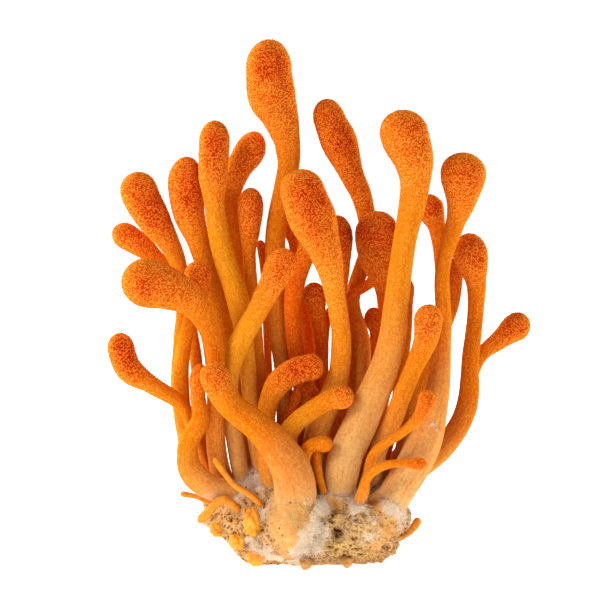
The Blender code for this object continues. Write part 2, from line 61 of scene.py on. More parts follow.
# The routes repeat the solids' own: x, y, z and radius in millimetres, from the tip to the foot.
# The second station is where the head is widest, and the dome from the tip to there is a formula.
CLUBS = {
    "tall_centre": (
        (-4.3, 1, 68.2, 0), (-4.75, 1, 64.6, 2.9), (-4.4, 1, 61.0, 3.05), (-3.2, 1, 58.0, 2.3),
        (-2.1, 1, 53.3, 1.45), (-2.5, 1, 49.2, 1.35), (-3.6, 1, 43.3, 1.35), (-3.6, 1, 31.4, 1.15),
        (-2.8, 1, 25.1, 1.1), (-2.0, 0, 11.6, 1.2),
    ),
    "rear_right": (
        (2.6, 4, 60.4, 0), (3.2, 4, 57.7, 2.1), (4.4, 4, 55.0, 2.4), (6.2, 4, 50.3, 1.65),
        (7.6, 4.5, 47.1, 1.4), (8.4, 4.5, 41.1, 1.1), (6.3, 3.5, 33.8, 1.0), (7.4, 2.5, 27.9, 1.4),
        (5.3, 1.5, 10.7, 1.2),
    ),
    "front_right": (
        (12.3, -7, 59.3, 0), (12.6, -7, 56.4, 3.05), (13.9, -7.5, 52.7, 2.45), (14.0, -7.5, 49.4, 1.8),
        (12.5, -7.5, 41.4, 1.4), (11.8, -7.5, 35.5, 1.5), (10.8, -7.5, 27.2, 1.8), (7.5, -7.5, 19.8, 2.1),
        (5.2, -7.5, 13.9, 2.2), (4.3, -6.5, 8.8, 1.7),
    ),
    "right_outer": (
        (20.7, -4, 53.7, 0), (20.4, -4, 51.1, 2.9), (20.1, -4, 47.0, 1.8), (19.4, -4, 44.5, 1.2),
        (17.8, -4.5, 38.6, 1.0), (17.9, -5, 30.8, 1.1), (17.1, -5.5, 22.4, 1.7), (15.0, -6, 15.3, 2.4),
        (11.9, -6, 10.0, 2.3), (9.8, -5, 6.5, 1.8),
    ),
    "right_second": (
        (20.9, 0, 42.9, 0), (21.4, 0, 40.1, 2.3), (22.2, 0, 36.3, 1.4), (22.3, 0, 32.2, 1.1),
        (21.8, 0, 26.8, 1.1), (21.2, 0, 19.6, 1.4), (18.4, -0.5, 15.0, 1.45), (13.2, -1, 11.0, 1.4),
    ),
    "right_far": (
        (29.9, 4, 30.9, 0), (28.2, 4, 30.3, 1.85), (26.0, 4, 28.6, 1.3), (23.3, 4, 26.3, 0.9),
        (21.9, 4, 22.5, 0.8), (21.0, 3.5, 18.0, 0.8), (18.0, 3.2, 13.4, 0.8), (12.7, 3, 9.0, 0.8),
    ),
    "central_front": (
        (-1.2, -8, 51.7, 0), (-0.35, -8, 48.8, 2.9), (0.8, -8, 45.7, 3.1), (2.4, -8, 41.6, 2.15),
        (3.7, -7, 36.2, 1.45), (4.4, -6, 29.6, 1.3), (3.6, -5, 23.9, 1.5), (1.7, -4.5, 19.0, 1.7),
        (0.1, -4, 12.3, 1.4),
    ),
    "left_tall": (
        (-11.6, -3, 57.8, 0), (-11.75, -3, 55.1, 2.0), (-12.0, -3, 50.7, 1.9), (-11.8, -3, 46.9, 1.3),
        (-10.8, -3, 41.0, 1.4), (-8.9, -3.5, 35.1, 1.45), (-7.8, -4, 28.7, 1.0), (-7.2, -4, 22.2, 1.0),
        (-5.4, -4, 9.6, 1.4),
    ),
    "left_rear": (
        (-15.3, -0.5, 53.0, 0), (-15.6, -0.5, 49.3, 2.35), (-15.3, -0.5, 45.4, 2.0),
        (-13.9, -0.5, 41.5, 1.4), (-11.6, 0, 34.7, 1.3), (-10.0, 0, 28.2, 1.2), (-7.9, 0, 10.9, 1.1),
    ),
    "left_outer": (
        (-22.1, 0, 51.0, 0), (-21.5, 0, 48.4, 2.5), (-19.7, 0, 45.2, 2.3), (-17.4, 0.5, 41.0, 1.35),
        (-16.1, 1, 36.1, 0.95), (-16.6, 1, 28.8, 0.8), (-16.8, 1.5, 20.7, 0.8), (-13.3, 1.5, 9.3, 0.9),
    ),
    "left_far": (
        (-25.4, 4, 43.2, 0), (-23.7, 4, 42.3, 1.7), (-21.6, 4, 40.9, 1.5), (-19.4, 4, 39.2, 0.9),
        (-17.1, 4, 36.6, 0.8), (-14.5, 4, 27.1, 0.8), (-12.0, 3.5, 9.6, 0.8),
    ),
    "left_bent": (
        (-23.4, -9, 37.9, 0), (-20.2, -9, 37.3, 3.1), (-16.9, -9, 36.3, 2.6), (-14.4, -9, 34.8, 1.9),
        (-12.7, -8.5, 31.9, 1.4), (-11.8, -8, 27.4, 1.2), (-11.6, -7, 22.0, 1.2), (-10.8, -6, 10.7, 1.2),
    ),
    "left_small": (
        (-13.6, -4, 39.6, 0), (-13.9, -4, 37.9, 1.8), (-13.6, -4, 35.7, 1.2), (-15.0, -4, 31.8, 1.0),
        (-16.0, -3, 27.3, 1.0), (-16.2, -2, 20.2, 1.2), (-13.8, -1.5, 10.5, 1.1),
    ),
    "front_left": (
        (-12.0, -13, 27.6, 0), (-11.5, -13, 25.8, 1.8), (-9.8, -13, 22.6, 1.6), (-6.6, -12.5, 19.8, 1.7),
        (-4.1, -12, 17.4, 2.0), (-1.9, -11.5, 14.1, 2.4), (-1.2, -10.5, 10.6, 2.6), (-1.6, -8.6, 7.0, 2.2),
    ),
    "pale_diagonal": (
        (-1.9, -7.5, 41.4, 0), (-3.1, -7.5, 39.4, 2.0), (-4.6, -7.5, 36.4, 1.6), (-6.5, -7, 32.8, 1.4),
        (-8.8, -6.5, 28.7, 1.45), (-10.1, -5.7, 24.5, 1.35), (-9.9, -5.5, 19.5, 1.3), (-8.5, -5, 11.4, 1.2),
    ),
    "arching_right": (
        (2.7, -6, 26.4, 0), (1.4, -6, 26.1, 1.7), (-0.7, -6, 25.7, 1.7), (-3.2, -6, 24.2, 1.6),
        (-4.7, -6, 21.2, 1.2), (-4.7, -6, 17.2, 1.2), (-3.9, -6, 10.7, 1.2),
    ),
    "small_front": (
        (6.4, -9, 22.8, 0), (5.0, -9, 22.6, 1.5), (2.9, -9, 22.1, 1.2), (-0.9, -8.5, 19.3, 1.2),
        (-2.2, -8, 16.9, 1.3), (-1.3, -6.5, 11.2, 1.2),
    ),
    "tiny_front": (
        (3.3, -10, 16.9, 0), (2.2, -10, 16.8, 1.1), (0.3, -9.4, 16.6, 0.9), (-0.9, -8.2, 15.0, 0.9),
        (-0.6, -6.6, 11.0, 0.8),
    ),
    "left_curl": (
        (-12.6, -8, 25.7, 0), (-13.0, -8, 24.7, 1.0), (-13.4, -8, 23.1, 0.9), (-13.1, -8, 19.8, 1.1),
        (-14.8, -8, 16.6, 1.25), (-14.9, -8, 14.5, 1.4), (-13.9, -7.5, 12.3, 1.6), (-12.1, -6.5, 10.6, 1.55),
        (-9.8, -5.5, 9.7, 1.3),
    ),
    "left_low": (
        (-23.7, -8, 30.8, 0), (-23.6, -8, 28.7, 1.75), (-22.6, -8, 26.1, 1.7), (-19.6, -7.5, 23.9, 1.15),
        (-15.7, -6, 21.2, 0.95), (-14.3, -4.5, 17.7, 0.8), (-11.8, -4, 10.7, 0.8),
    ),
    "left_knob": (
        (-13.3, -5.5, 26.4, 0), (-14.0, -5.5, 24.8, 1.0), (-14.2, -5, 22.3, 0.8), (-13.1, -3.5, 16.2, 0.7),
        (-10.1, -3, 10.8, 0.7),
    ),
    "upper_left_second": (
        (-6.2, 2.5, 56.1, 0), (-7.3, 2.5, 53.5, 1.95), (-8.8, 2.5, 51.1, 1.6), (-9.7, 2.5, 47.4, 1.15),
        (-9.3, 3, 40.5, 1.1), (-8.2, 3, 29.9, 1.1), (-5.7, 2.5, 10.5, 1.1),
    ),
    "red_small": (
        (-7.1, -1, 49.0, 0), (-7.1, -1, 46.6, 1.7), (-7.2, -1, 43.6, 1.4), (-7.3, -1, 40.0, 0.9),
        (-6.6, -1, 32.3, 0.9), (-5.8, -1, 22.4, 0.9), (-4.3, -1, 11.1, 0.9),
    ),
    "tiny_knob": (
        (-6.0, 3.5, 41.8, 0), (-5.8, 3.5, 41.0, 0.6), (-5.4, 3.5, 37.2, 0.5), (-5.0, 3.5, 27.1, 0.5),
        (-4.0, 3, 10.4, 0.7),
    ),
    "thin_behind_red": (
        (-2.5, 2, 46.2, 0), (-2.4, 2, 44.3, 1.2), (-1.6, 2, 41.1, 0.7), (-1.7, 2, 34.0, 0.6),
        (-2.4, 2, 24.7, 0.85), (-2.7, 2, 10.6, 0.7),
    ),
    "behind_central": (
        (1.4, -1.5, 48.1, 0), (1.3, -1.5, 46.1, 1.8), (0.5, -1.5, 41.6, 1.35), (-1.3, -1.5, 36.3, 1.25),
        (-1.6, -1, 31.0, 1.1), (-0.4, -1, 21.1, 1.1), (-0.4, -1, 11.1, 1.1),
    ),
    "dark_low_centre": (
        (0.7, 1.5, 36.3, 0), (1.2, 1.5, 34.8, 1.5), (1.7, 1.5, 32.1, 1.0), (2.2, 1.5, 28.1, 0.9),
        (1.3, 1.5, 10.7, 0.8),
    ),
    "dark_centre_right": (
        (4.3, 0.5, 45.3, 0), (4.6, 0.5, 42.6, 1.8), (4.9, 0.5, 38.6, 1.15), (4.7, 0.5, 34.1, 0.8),
        (5.4, 0.5, 27.5, 0.8), (3.3, 0, 10.9, 0.9),
    ),
    "crossing_branch": (
        (9.9, 3, 37.9, 0), (9.3, 3, 36.9, 1.1), (8.5, 3, 36.1, 0.7), (5.4, 3, 34.0, 0.6),
        (3.3, 3.5, 32.2, 0.6), (2.6, 3.5, 28.5, 0.6), (2.6, 3.5, 10.3, 0.7),
    ),
    "dark_right_low": (
        (8.9, 4, 32.7, 0), (8.9, 4, 31.1, 1.3), (9.2, 4, 29.2, 0.8), (8.9, 4, 24.0, 0.8),
        (8.4, 3.5, 10.3, 0.8),
    ),
    "dark_red_big": (
        (9.5, 0, 45.9, 0), (9.3, 0, 42.7, 2.9), (9.4, 0, 39.9, 2.5), (10.4, -0.5, 35.6, 1.4),
        (10.9, -1, 32.3, 1.1), (10.3, -2, 25.2, 1.0), (7.9, -2, 11.3, 1.2),
    ),
    "small_behind_right": (
        (13.1, 1.5, 37.0, 0), (13.3, 1.5, 35.6, 1.1), (13.5, 1.5, 33.0, 0.7), (13.2, 1.5, 27.9, 0.7),
        (10.6, 1, 10.7, 0.8),
    ),
    "right_front": (
        (15.8, -9, 34.6, 0), (15.7, -9, 32.6, 1.8), (15.4, -9, 30.2, 1.55), (13.5, -8.5, 26.0, 1.2),
        (12.3, -8, 23.0, 1.25), (11.2, -7, 19.6, 1.25), (9.6, -5.5, 15.4, 1.2), (8.9, -4, 11.2, 1.1),
    ),
    "right_inner": (
        (19.7, 1.5, 39.6, 0), (19.7, 1.5, 38.0, 1.2), (19.6, 1.5, 34.7, 0.95), (18.3, 1.5, 29.4, 0.85),
        (15.9, 1, 23.5, 1.0), (13.7, 1, 19.0, 1.0), (11.2, 0.5, 10.2, 1.1),
    ),
    "upper_right_rear": (
        (16.1, 0, 48.1, 0), (16.3, 0, 46.2, 1.8), (17.3, 0, 43.7, 1.1), (18.0, 0.5, 39.4, 0.9),
        (18.1, 1, 30.1, 0.9), (15.9, 2, 16.6, 0.9), (10.7, 2, 9.9, 1.1),
    ),
    "small_right_front": (
        (15.5, -11.5, 23.9, 0), (15.4, -11.5, 22.7, 1.1), (14.4, -11.5, 20.4, 0.8), (12.1, -11, 18.2, 0.6),
        (8.7, -9.5, 15.7, 0.7), (7.4, -7, 11.5, 0.8),
    ),
    "low_right": (
        (15.5, -12, 14.5, 0), (14.5, -12, 14.5, 0.8), (12.1, -12, 14.6, 0.5), (9.5, -11.5, 14.0, 0.6),
        (7.8, -10.5, 12.5, 0.6), (7.2, -9, 10.3, 0.8),
    ),
    "small_blunt": (
        (0.5, -3, 23.5, 0), (0.5, -3, 22.2, 1.2), (-0.3, -3, 20.3, 0.8), (-0.5, -2.5, 11.4, 0.8),
    ),
    "dark_s_stem": (
        (-1.0, -3.8, 23.1, 0), (-1.0, -3.8, 21.9, 0.7), (-2.0, -3.6, 19.5, 0.7), (-1.2, -3.5, 16.2, 0.6),
        (-1.7, -3.2, 11.1, 0.7),
    ),
    "low_stub_front": (
        (1.4, -8, 15.7, 0), (1.4, -8, 14.8, 0.6), (1.9, -8, 12.3, 0.5), (2.6, -8, 9.5, 0.5),
    ),
    "rear_centre": (
        (-4.8, 7, 66.0, 0), (-4.8, 7, 63.4, 2.3), (-3.1, 7, 56.5, 1.5), (-2.4, 7, 48.9, 1.0),
        (-3.9, 7, 42.2, 1.1), (-2.6, 7, 37.6, 1.0), (-0.2, 7, 32.0, 0.9), (0.5, 7, 26.0, 0.9),
        (0.1, 6.5, 18.0, 0.9), (-1.2, 6, 9.9, 1.0),
    ),
    "rear_right_tall": (
        (13.5, 5.5, 57.3, 0), (13.5, 5.5, 54.7, 2.1), (14.2, 5.5, 48.6, 1.2), (13.0, 6, 40.3, 1.1),
        (12.3, 6, 33.6, 1.1), (11.2, 6.5, 25.4, 1.1), (7.4, 6.5, 9.8, 1.1),
    ),
    "rear_middle": (
        (0.0, 7, 49.2, 0), (0.5, 7, 46.2, 2.1), (2.4, 7, 40.9, 1.2), (4.0, 7, 34.8, 1.0),
        (4.5, 7.5, 26.6, 1.0), (2.0, 7.5, 9.6, 1.1),
    ),
    "rear_left_tall": (
        (-12.4, 7, 55.7, 0), (-12.4, 7, 53.6, 1.5), (-12.3, 7, 46.9, 0.9), (-11.1, 7, 40.2, 0.9),
        (-9.1, 7, 33.5, 1.0), (-7.8, 7, 24.0, 0.8), (-6.7, 7, 9.7, 0.9),
    ),
    "rear_left": (
        (-15.6, 5, 50.3, 0), (-15.7, 5, 47.7, 1.7), (-14.4, 5, 41.7, 1.0), (-12.1, 5, 35.0, 0.8),
        (-10.3, 5.5, 26.9, 0.8), (-8.5, 6, 9.9, 0.9),
    ),
    "rear_left_short": (
        (-22.3, 1.5, 36.2, 0), (-20.2, 1.5, 36.0, 2.0), (-16.0, 2, 34.4, 1.2), (-13.3, 3, 29.9, 0.9),
        (-12.4, 4, 23.1, 0.9), (-10.3, 5, 9.6, 0.9),
    ),
    "rear_right_second": (
        (22.2, 6, 41.2, 0), (22.2, 6, 39.1, 1.6), (22.7, 6, 33.6, 0.7), (22.2, 5.5, 26.1, 0.7),
        (21.6, 5, 18.9, 0.9), (18.4, 5, 13.8, 0.9), (12.1, 5, 9.1, 1.0),
    ),
    "rear_right_outer": (
        (20.9, 4.5, 52.0, 0), (20.9, 4.5, 50.0, 2.0), (19.9, 4.5, 44.1, 0.9), (18.3, 4, 37.8, 0.8),
        (18.4, 4, 29.8, 0.8), (17.5, 4, 21.0, 1.1), (10.7, 4, 9.8, 1.1),
    ),
    "rear_red": (
        (9.5, 7.5, 43.9, 0), (9.5, 7.5, 41.5, 2.0), (10.5, 7.5, 34.8, 1.0), (10.7, 8, 27.3, 0.9),
        (6.1, 8, 9.1, 1.0),
    ),
}

# Thin outgrowths of the clump, tip first like the clubs.
SPURS = {
    "left_spur": (
        (-16.3, -4.5, 9.3, 0), (-15.8, -4.5, 9.2, 0.4), (-14.2, -4.2, 8.8, 0.35), (-11.0, -3.5, 7.2, 0.5),
    ),
    "right_spur": (
        (14.9, -3.8, 6.0, 0), (14.6, -3.7, 5.3, 0.55), (13.7, -3.3, 3.9, 0.4), (11.4, -2.6, 2.6, 0.6),
    ),
    "left_stub": (
        (-13.8, -7.8, 6.5, 0), (-13.2, -7.9, 7.2, 0.65), (-12.0, -8.3, 8.8, 0.5), (-10.7, -8.7, 9.9, 0.5),
        (-9.3, -7.8, 8.9, 0.5), (-8.4, -6.2, 7.4, 0.6),
    ),
    "front_strand": (
        (-11.7, -9.8, 14.9, 0), (-11.3, -9.9, 14.3, 0.45), (-10.2, -10.1, 12.8, 0.4),
        (-8.9, -10.3, 11.3, 0.4), (-7.2, -10.2, 10.3, 0.45), (-5.9, -9.8, 9.0, 0.45), (-5.3, -7.6, 7.4, 0.5),
    ),
}

# Round primordia on the clump: centre and radius in millimetres.
NODULES = {
    "nodule_strand_end": (-6.7, -9.7, 6.6, 1.4),
    "nodule_left": (-11.4, -6.4, 5.0, 1.0),
    "nodule_lower_left": (-8.8, -8.4, 3.8, 1.1),
    "nodule_bottom_left": (-6.4, -8.6, 1.8, 1.2),
    "knob_bottom_centre": (0.1, -8.9, 0.9, 0.8),
    "knob_bottom_right": (5.4, -7.6, 0.9, 0.8),
}


class Tone(Enum):
    """How a fruiting body is coloured: golden, pale towards the foot, or a darker, redder copy for the bodies
    deep in the bunch, which is painted shade.
    """

    GOLDEN = "orange_flesh"
    PALE = "pale_flesh"
    # A darker, redder copy of the flesh for bodies deep in the bunch: painted shade.
    DEEP_SHADED = "dark_flesh"


PALE_CLUBS = (
    "front_right", "right_outer", "front_left", "pale_diagonal", "small_front", "left_curl", "right_front",
)
# Bodies deep in the bunch get the darker, redder copy of the flesh: painted shade.
DEEP_SHADED_CLUBS = (
    "dark_red_big", "dark_low_centre", "dark_centre_right", "dark_right_low", "dark_s_stem",
    "crossing_branch", "small_behind_right", "behind_central", "rear_red", "rear_middle",
)

# Fruiting bodies without grains: their tips are smooth and pale orange.
SMOOTH_CLUBS = ("low_stub_front", "tiny_front")

# How golden each stalk is, from 0 to 1, where it differs from the others. Mostly each stalk's own tone, but
# the 0 of front_left is also painted shade, darker for the shade under its bend.
GOLD = {
    "left_tall": 0.80, "central_front": 0.45, "pale_diagonal": 0.85, "front_right": 0.35, "tall_centre": 0.25,
    "left_bent": 0.08, "right_outer": 0.05, "right_second": 0.05, "front_left": 0.0, "left_curl": 0.30,
    "left_rear": 0.45, "left_outer": 0.40, "left_small": 0.60, "right_front": 0.25, "behind_central": 0.0,
    "rear_right": 0.20, "upper_right_rear": 0.10, "dark_red_big": 0.0, "small_front": 0.60,
    "rear_centre": 0.0, "crossing_branch": 0.0, "dark_low_centre": 0.0, "dark_centre_right": 0.0,
}

# How far the grains run down from the tip, in head lengths, where it differs from the others.
GRAIN_REACH = {
    "central_front": 2.0, "front_right": 1.6, "rear_right": 1.6, "pale_diagonal": 1.6, "tall_centre": 1.5,
    "left_tall": 1.5, "arching_right": 1.1, "right_front": 1.05,
}


def tone_of(name: str) -> Tone:
    """Finds how one fruiting body is coloured.

    Args:
        name: the body's node name.

    Returns:
        Its tone.
    """
    if name in PALE_CLUBS:
        return Tone.PALE
    return Tone.DEEP_SHADED if name in DEEP_SHADED_CLUBS else Tone.GOLDEN


# ---------------------------------------------------------------- numbers


def scatter(cells: np.ndarray, seed: int) -> np.ndarray:
    """Gives each whole-numbered cell its own even random number.

    Args:
        cells: whole coordinates, with the last axis holding x, y and z.
        seed: which set of numbers.

    Returns:
        Numbers from 0 to 1 in the shape of the leading axes.
    """
    mixed = cells[..., 0] * 73856093 ^ cells[..., 1] * 19349663 ^ cells[..., 2] * 83492791 ^ seed * 2654435761
    mixed = (mixed ^ (mixed >> 13)) * 1274126177 & 0xFFFFFFFF
    mixed = (mixed ^ (mixed >> 16)) * 2246822519 & 0xFFFFFFFF
    return (mixed ^ (mixed >> 15)).astype(np.float64) % 65536 / 65536


def value_noise(points: np.ndarray, cell: float, seed: int) -> np.ndarray:
    """Smooth noise: random numbers at the corners of cubes, blended inside them.

    Args:
        points: places, with the last axis holding x, y and z.
        cell: side of a cube, in the points' unit.
        seed: which noise.

    Returns:
        Values from 0 to 1.
    """
    scaled = points / cell
    base = np.floor(scaled).astype(np.int64)
    share = scaled - base
    share = share * share * (3 - 2 * share)
    total = np.zeros(points.shape[:-1])
    for corner in np.ndindex(2, 2, 2):
        weight = np.prod(np.where(np.array(corner) == 1, share, 1 - share), axis=-1)
        total += weight * scatter(base + np.array(corner), seed)
    return total


def layered_noise(points: np.ndarray, cell: float, seed: int, layers: int = 3) -> np.ndarray:
    """Value noise at several sizes, each half the size and the strength of the last.

    Args:
        points: places.
        cell: the largest cube's side.
        seed: which noise.
        layers: how many sizes.

    Returns:
        Values from 0 to 1.
    """
    total = np.zeros(points.shape[:-1])
    for layer in range(layers):
        total += value_noise(points, cell / 2**layer, seed + layer) / 2**layer
    return total / (2 - 2 ** (1 - layers))


def cell_noise(points: np.ndarray, cell: float, seed: int) -> tuple[np.ndarray, np.ndarray]:
    """Distance to the nearest of the points scattered one to a cube, and that point's own number.

    Args:
        points: places, as rows of x, y and z.
        cell: side of a cube.
        seed: which scatter.

    Returns:
        Distances in cubes, and random numbers from 0 to 1 that are the same over one grain.
    """
    scaled = points / cell
    base = np.floor(scaled).astype(np.int64)
    nearest = np.full(len(points), 9.0)
    number = np.zeros(len(points))
    for offset in np.ndindex(3, 3, 3):
        there = base + np.array(offset) - 1
        apart = np.zeros(len(points))
        for axis in range(3):
            apart += (there[:, axis] + scatter(there, seed + axis) - scaled[:, axis]) ** 2
        closer = apart < nearest
        nearest[closer] = apart[closer]
        number[closer] = scatter(there[closer], seed + 7)
    return np.sqrt(nearest), number


def smooth_step(low: float, high: float, values: np.ndarray) -> np.ndarray:
    """Rises smoothly from 0 at low to 1 at high, and falls if low is above high."""
    share = np.clip((values - low) / (high - low), 0.0, 1.0)
    return share * share * (3 - 2 * share)


def unit(vectors: np.ndarray) -> np.ndarray:
    """Scales vectors to length 1."""
    return vectors / np.maximum(np.linalg.norm(vectors, axis=-1, keepdims=True), 1e-12)


# ---------------------------------------------------------------- routes, as the solids have them


def hermite(start, end, slope_start, slope_end, share):
    """Cubic between two values, with their slopes already times the interval."""
    rest = 1 - share
    return (
        (1 + 2 * share) * rest**2 * start
        + share * rest**2 * slope_start
        + share**2 * (3 - 2 * share) * end
        - share**2 * rest * slope_end
    )


def smooth_centreline(points: np.ndarray) -> tuple[np.ndarray, np.ndarray, np.ndarray]:
    """Runs a smooth curve through stations.

    Args:
        points: the stations.

    Returns:
        Dense points, the distance of each along the curve, and each station's distance.
    """
    gaps = np.sqrt(np.linalg.norm(np.diff(points, axis=0), axis=1))
    knots = np.concatenate(([0.0], np.cumsum(gaps)))
    steps = np.diff(points, axis=0) / gaps[:, None]
    tangents = np.vstack((steps[:1], steps))
    before, after = gaps[:-1, None], gaps[1:, None]
    tangents[1:-1] = (after * steps[:-1] + before * steps[1:]) / (before + after)
    query = np.linspace(0.0, knots[-1], 600)
    at = np.clip(np.searchsorted(knots, query) - 1, 0, len(gaps) - 1)
    width = gaps[at][:, None]
    share = (query - knots[at])[:, None] / width
    line = hermite(points[at], points[at + 1], width * tangents[at], width * tangents[at + 1], share)
    along = np.concatenate(([0.0], np.cumsum(np.linalg.norm(np.diff(line, axis=0), axis=1))))
    return line, along, np.interp(knots, query, along)


def monotone(positions: np.ndarray, values: np.ndarray, query: np.ndarray) -> np.ndarray:
    """Cubic interpolation that never swings past its values, level at the first one."""
    widths = np.diff(positions)
    slopes = np.diff(values) / widths
    tangents = np.zeros(len(values))
    left, right = slopes[:-1], slopes[1:]
    same_way = left * right > 0
    tangents[1:-1][same_way] = 2 * (left * right)[same_way] / (left + right)[same_way]
    tangents[-1] = slopes[-1]
    at = np.clip(np.searchsorted(positions, query) - 1, 0, len(widths) - 1)
    share = (query - positions[at]) / widths[at]
    return hermite(
        values[at], values[at + 1], widths[at] * tangents[at], widths[at] * tangents[at + 1], share
    )


@dataclass
class Route:
    """A fruiting body's centreline in millimetres, from its tip to its root inside the clump."""

    stations: tuple
    points: np.ndarray = field(init=False)
    distance: np.ndarray = field(init=False)
    dome: float = field(init=False)
    marks: np.ndarray = field(init=False)

    STEP = 0.8

    def __post_init__(self) -> None:
        table = np.array(self.stations, dtype=float)
        line, along, self.marks = smooth_centreline(table[:, :3])
        count = max(8, round(along[-1] / self.STEP)) + 1
        self.distance = np.linspace(0.0, along[-1], count)
        self.points = np.stack([np.interp(self.distance, along, line[:, axis]) for axis in range(3)], axis=1)
        self.dome = self.marks[1]

    def radius(self, distance: np.ndarray) -> np.ndarray:
        """Radius at distances from the tip: half an ellipse on the dome, then the stations' own widths."""
        widths = np.array(self.stations, dtype=float)[:, 3]
        shaft = monotone(self.marks[1:], widths[1:], np.maximum(distance, self.dome))
        height = np.clip(1 - distance / self.dome, 0.0, 1.0)
        return np.where(distance < self.dome, widths[1] * np.sqrt(1 - height**2), shaft)


@dataclass(frozen=True)
class Easing:
    """Moves routes that press into each other apart, mostly front to back, as in the solids."""

    clearance: float = 0.35
    rounds: int = 60
    weights: tuple = (0.3, 1.0, 0.3)
    spread: float = 3.0
    above: float = 7.5

    def apply(self, routes: list[Route]) -> None:
        """Eases the routes' points in place.

        Each round finds how deep every sample presses into its nearest foreign one, and moves both by half
        of that. The move is spread along each route by a bell curve, so that the curves stay smooth.

        Args:
            routes: all routes, in the solids' order.
        """
        sizes = [len(route.points) for route in routes]
        ends = np.cumsum(sizes)
        owner = np.repeat(np.arange(len(routes)), sizes)
        points = np.concatenate([route.points for route in routes])
        radii = np.concatenate([route.radius(route.distance) for route in routes])
        reach = radii[:, None] + radii[None, :] + self.clearance
        reach[owner[:, None] == owner[None, :]] = 0.0
        rows = np.arange(len(points))
        for _ in range(self.rounds):
            apart = np.sqrt(((points[:, None] - points[None]) ** 2).sum(axis=2))
            press = np.maximum(reach - apart, 0.0)
            low = points[:, 2] < self.above
            press[low] = 0.0
            press[:, low] = 0.0
            other = press.argmax(axis=1)
            depth = press[rows, other]
            if depth.max() < 0.02:
                break
            away = (points - points[other]) / np.maximum(apart[rows, other], 1e-6)[:, None]
            push = away * np.array(self.weights)
            push /= np.maximum((away * push).sum(axis=1), 0.15)[:, None]
            push *= 0.5 * depth[:, None]
            for first, last in zip(ends - sizes, ends):
                points[first:last] += self._spread_push(depth[first:last], push[first:last])
        for route, first, last in zip(routes, ends - sizes, ends):
            route.points = points[first:last]

    def _spread_push(self, depth: np.ndarray, push: np.ndarray) -> np.ndarray:
        """Spreads one route's pushes along it."""
        if depth.max() <= 0:
            return np.zeros_like(push)
        index = np.arange(len(depth))
        near = np.exp(-0.5 * ((index[:, None] - index[None, :]) * Route.STEP / self.spread) ** 2)
        share = near * depth
        total = np.maximum(share.sum(axis=1), 1e-9)[:, None]
        fade = (near * (depth > 0)).max(axis=1)[:, None]
        return 0.7 * (share @ push) / total * fade


# ---------------------------------------------------------------- meshes


def make_mesh(name: str, points: np.ndarray, faces: np.ndarray, material, looks: dict | None = None):
    """Makes a smooth-shaded object from arrays.

    Args:
        name: the object's name.
        points: vertices in metres.
        faces: rows of three or four vertex numbers; a row that ends in -1 is a triangle.
        material: the one material.
        looks: arrays of three numbers a vertex, by attribute name.

    Returns:
        The object, at the origin and linked to the scene.
    """
    mesh = bpy.data.meshes.new(name)
    corners = np.where(faces[:, -1] < 0, 3, faces.shape[1]) if faces.shape[1] == 4 else np.full(len(faces), 3)
    loops = faces.reshape(-1)
    loops = loops[loops >= 0]
    mesh.vertices.add(len(points))
    mesh.vertices.foreach_set("co", points.astype(np.float32).reshape(-1))
    mesh.loops.add(len(loops))
    mesh.loops.foreach_set("vertex_index", loops.astype(np.int32))
    mesh.polygons.add(len(faces))
    starts = np.concatenate(([0], np.cumsum(corners)[:-1]))
    mesh.polygons.foreach_set("loop_start", starts.astype(np.int32))
    mesh.polygons.foreach_set("use_smooth", np.ones(len(faces), dtype=bool))
    for key, values in (looks or {}).items():
        attribute = mesh.attributes.new(key, "FLOAT_VECTOR", "POINT")
        attribute.data.foreach_set("vector", values.astype(np.float32).reshape(-1))
    mesh.update(calc_edges=True)
    mesh.validate()
    piece = bpy.data.objects.new(name, mesh)
    bpy.context.scene.collection.objects.link(piece)
    mesh.materials.append(material)
    return piece


def ring_quads(rows: int, columns: int, first: int = 0) -> np.ndarray:
    """Faces of a tube of rings, wound so that they face out when the rings go down the tube clockwise."""
    row, column = np.meshgrid(np.arange(rows - 1), np.arange(columns), indexing="ij")
    here = first + row * columns + column
    across = first + row * columns + (column + 1) % columns
    return np.stack((here, across, across + columns, here + columns), axis=-1).reshape(-1, 4)


def fan(centre: int, ring: np.ndarray, outward: bool) -> np.ndarray:
    """Triangles from one vertex to a closed ring, padded to four columns with -1."""
    following = np.roll(ring, -1)
    pair = (following, ring) if outward else (ring, following)
    return np.stack((np.full(len(ring), centre), *pair, np.full(len(ring), -1)), axis=-1)


def sphere_directions(rows: int, columns: int) -> np.ndarray:
    """Unit vectors of a sphere's top pole, its rings from the top down, and its bottom pole."""
    polar = np.linspace(0.0, math.pi, rows + 2)[1:-1][:, None]
    azimuth = np.arange(columns)[None, :] * (2 * math.pi / columns)
    rings = np.stack(
        (np.sin(polar) * np.cos(azimuth), np.sin(polar) * np.sin(azimuth), np.cos(polar) + 0 * azimuth),
        axis=-1,
    ).reshape(-1, 3)
    return np.concatenate((np.array([[0.0, 0.0, 1.0]]), rings, np.array([[0.0, 0.0, -1.0]])))


def sphere_faces(rows: int, columns: int) -> np.ndarray:
    """Faces that close the vertices of sphere_directions."""
    last = rows * columns + 1
    top = fan(0, 1 + np.arange(columns), outward=False)
    bottom = fan(last, last - columns + np.arange(columns), outward=True)
    return np.concatenate((top, ring_quads(rows, columns, 1), bottom))


def halving_band(fine: int, coarse: int, columns: int) -> np.ndarray:
    """Triangles between a ring and one with half as many vertices.

    Args:
        fine: first vertex of the finer ring.
        coarse: first vertex of the coarser ring.
        columns: vertices in the coarser ring.

    Returns:
        Rows of three vertices and -1.
    """
    index = np.arange(columns)
    left = fine + 2 * index
    middle = left + 1
    right = fine + (2 * index + 2) % (2 * columns)
    below = coarse + index
    across = coarse + (index + 1) % columns
    pad = np.full(columns, -1)
    bands = ((left, middle, below, pad), (middle, across, below, pad), (middle, right, across, pad))
    return np.concatenate([np.stack(band, axis=-1) for band in bands])


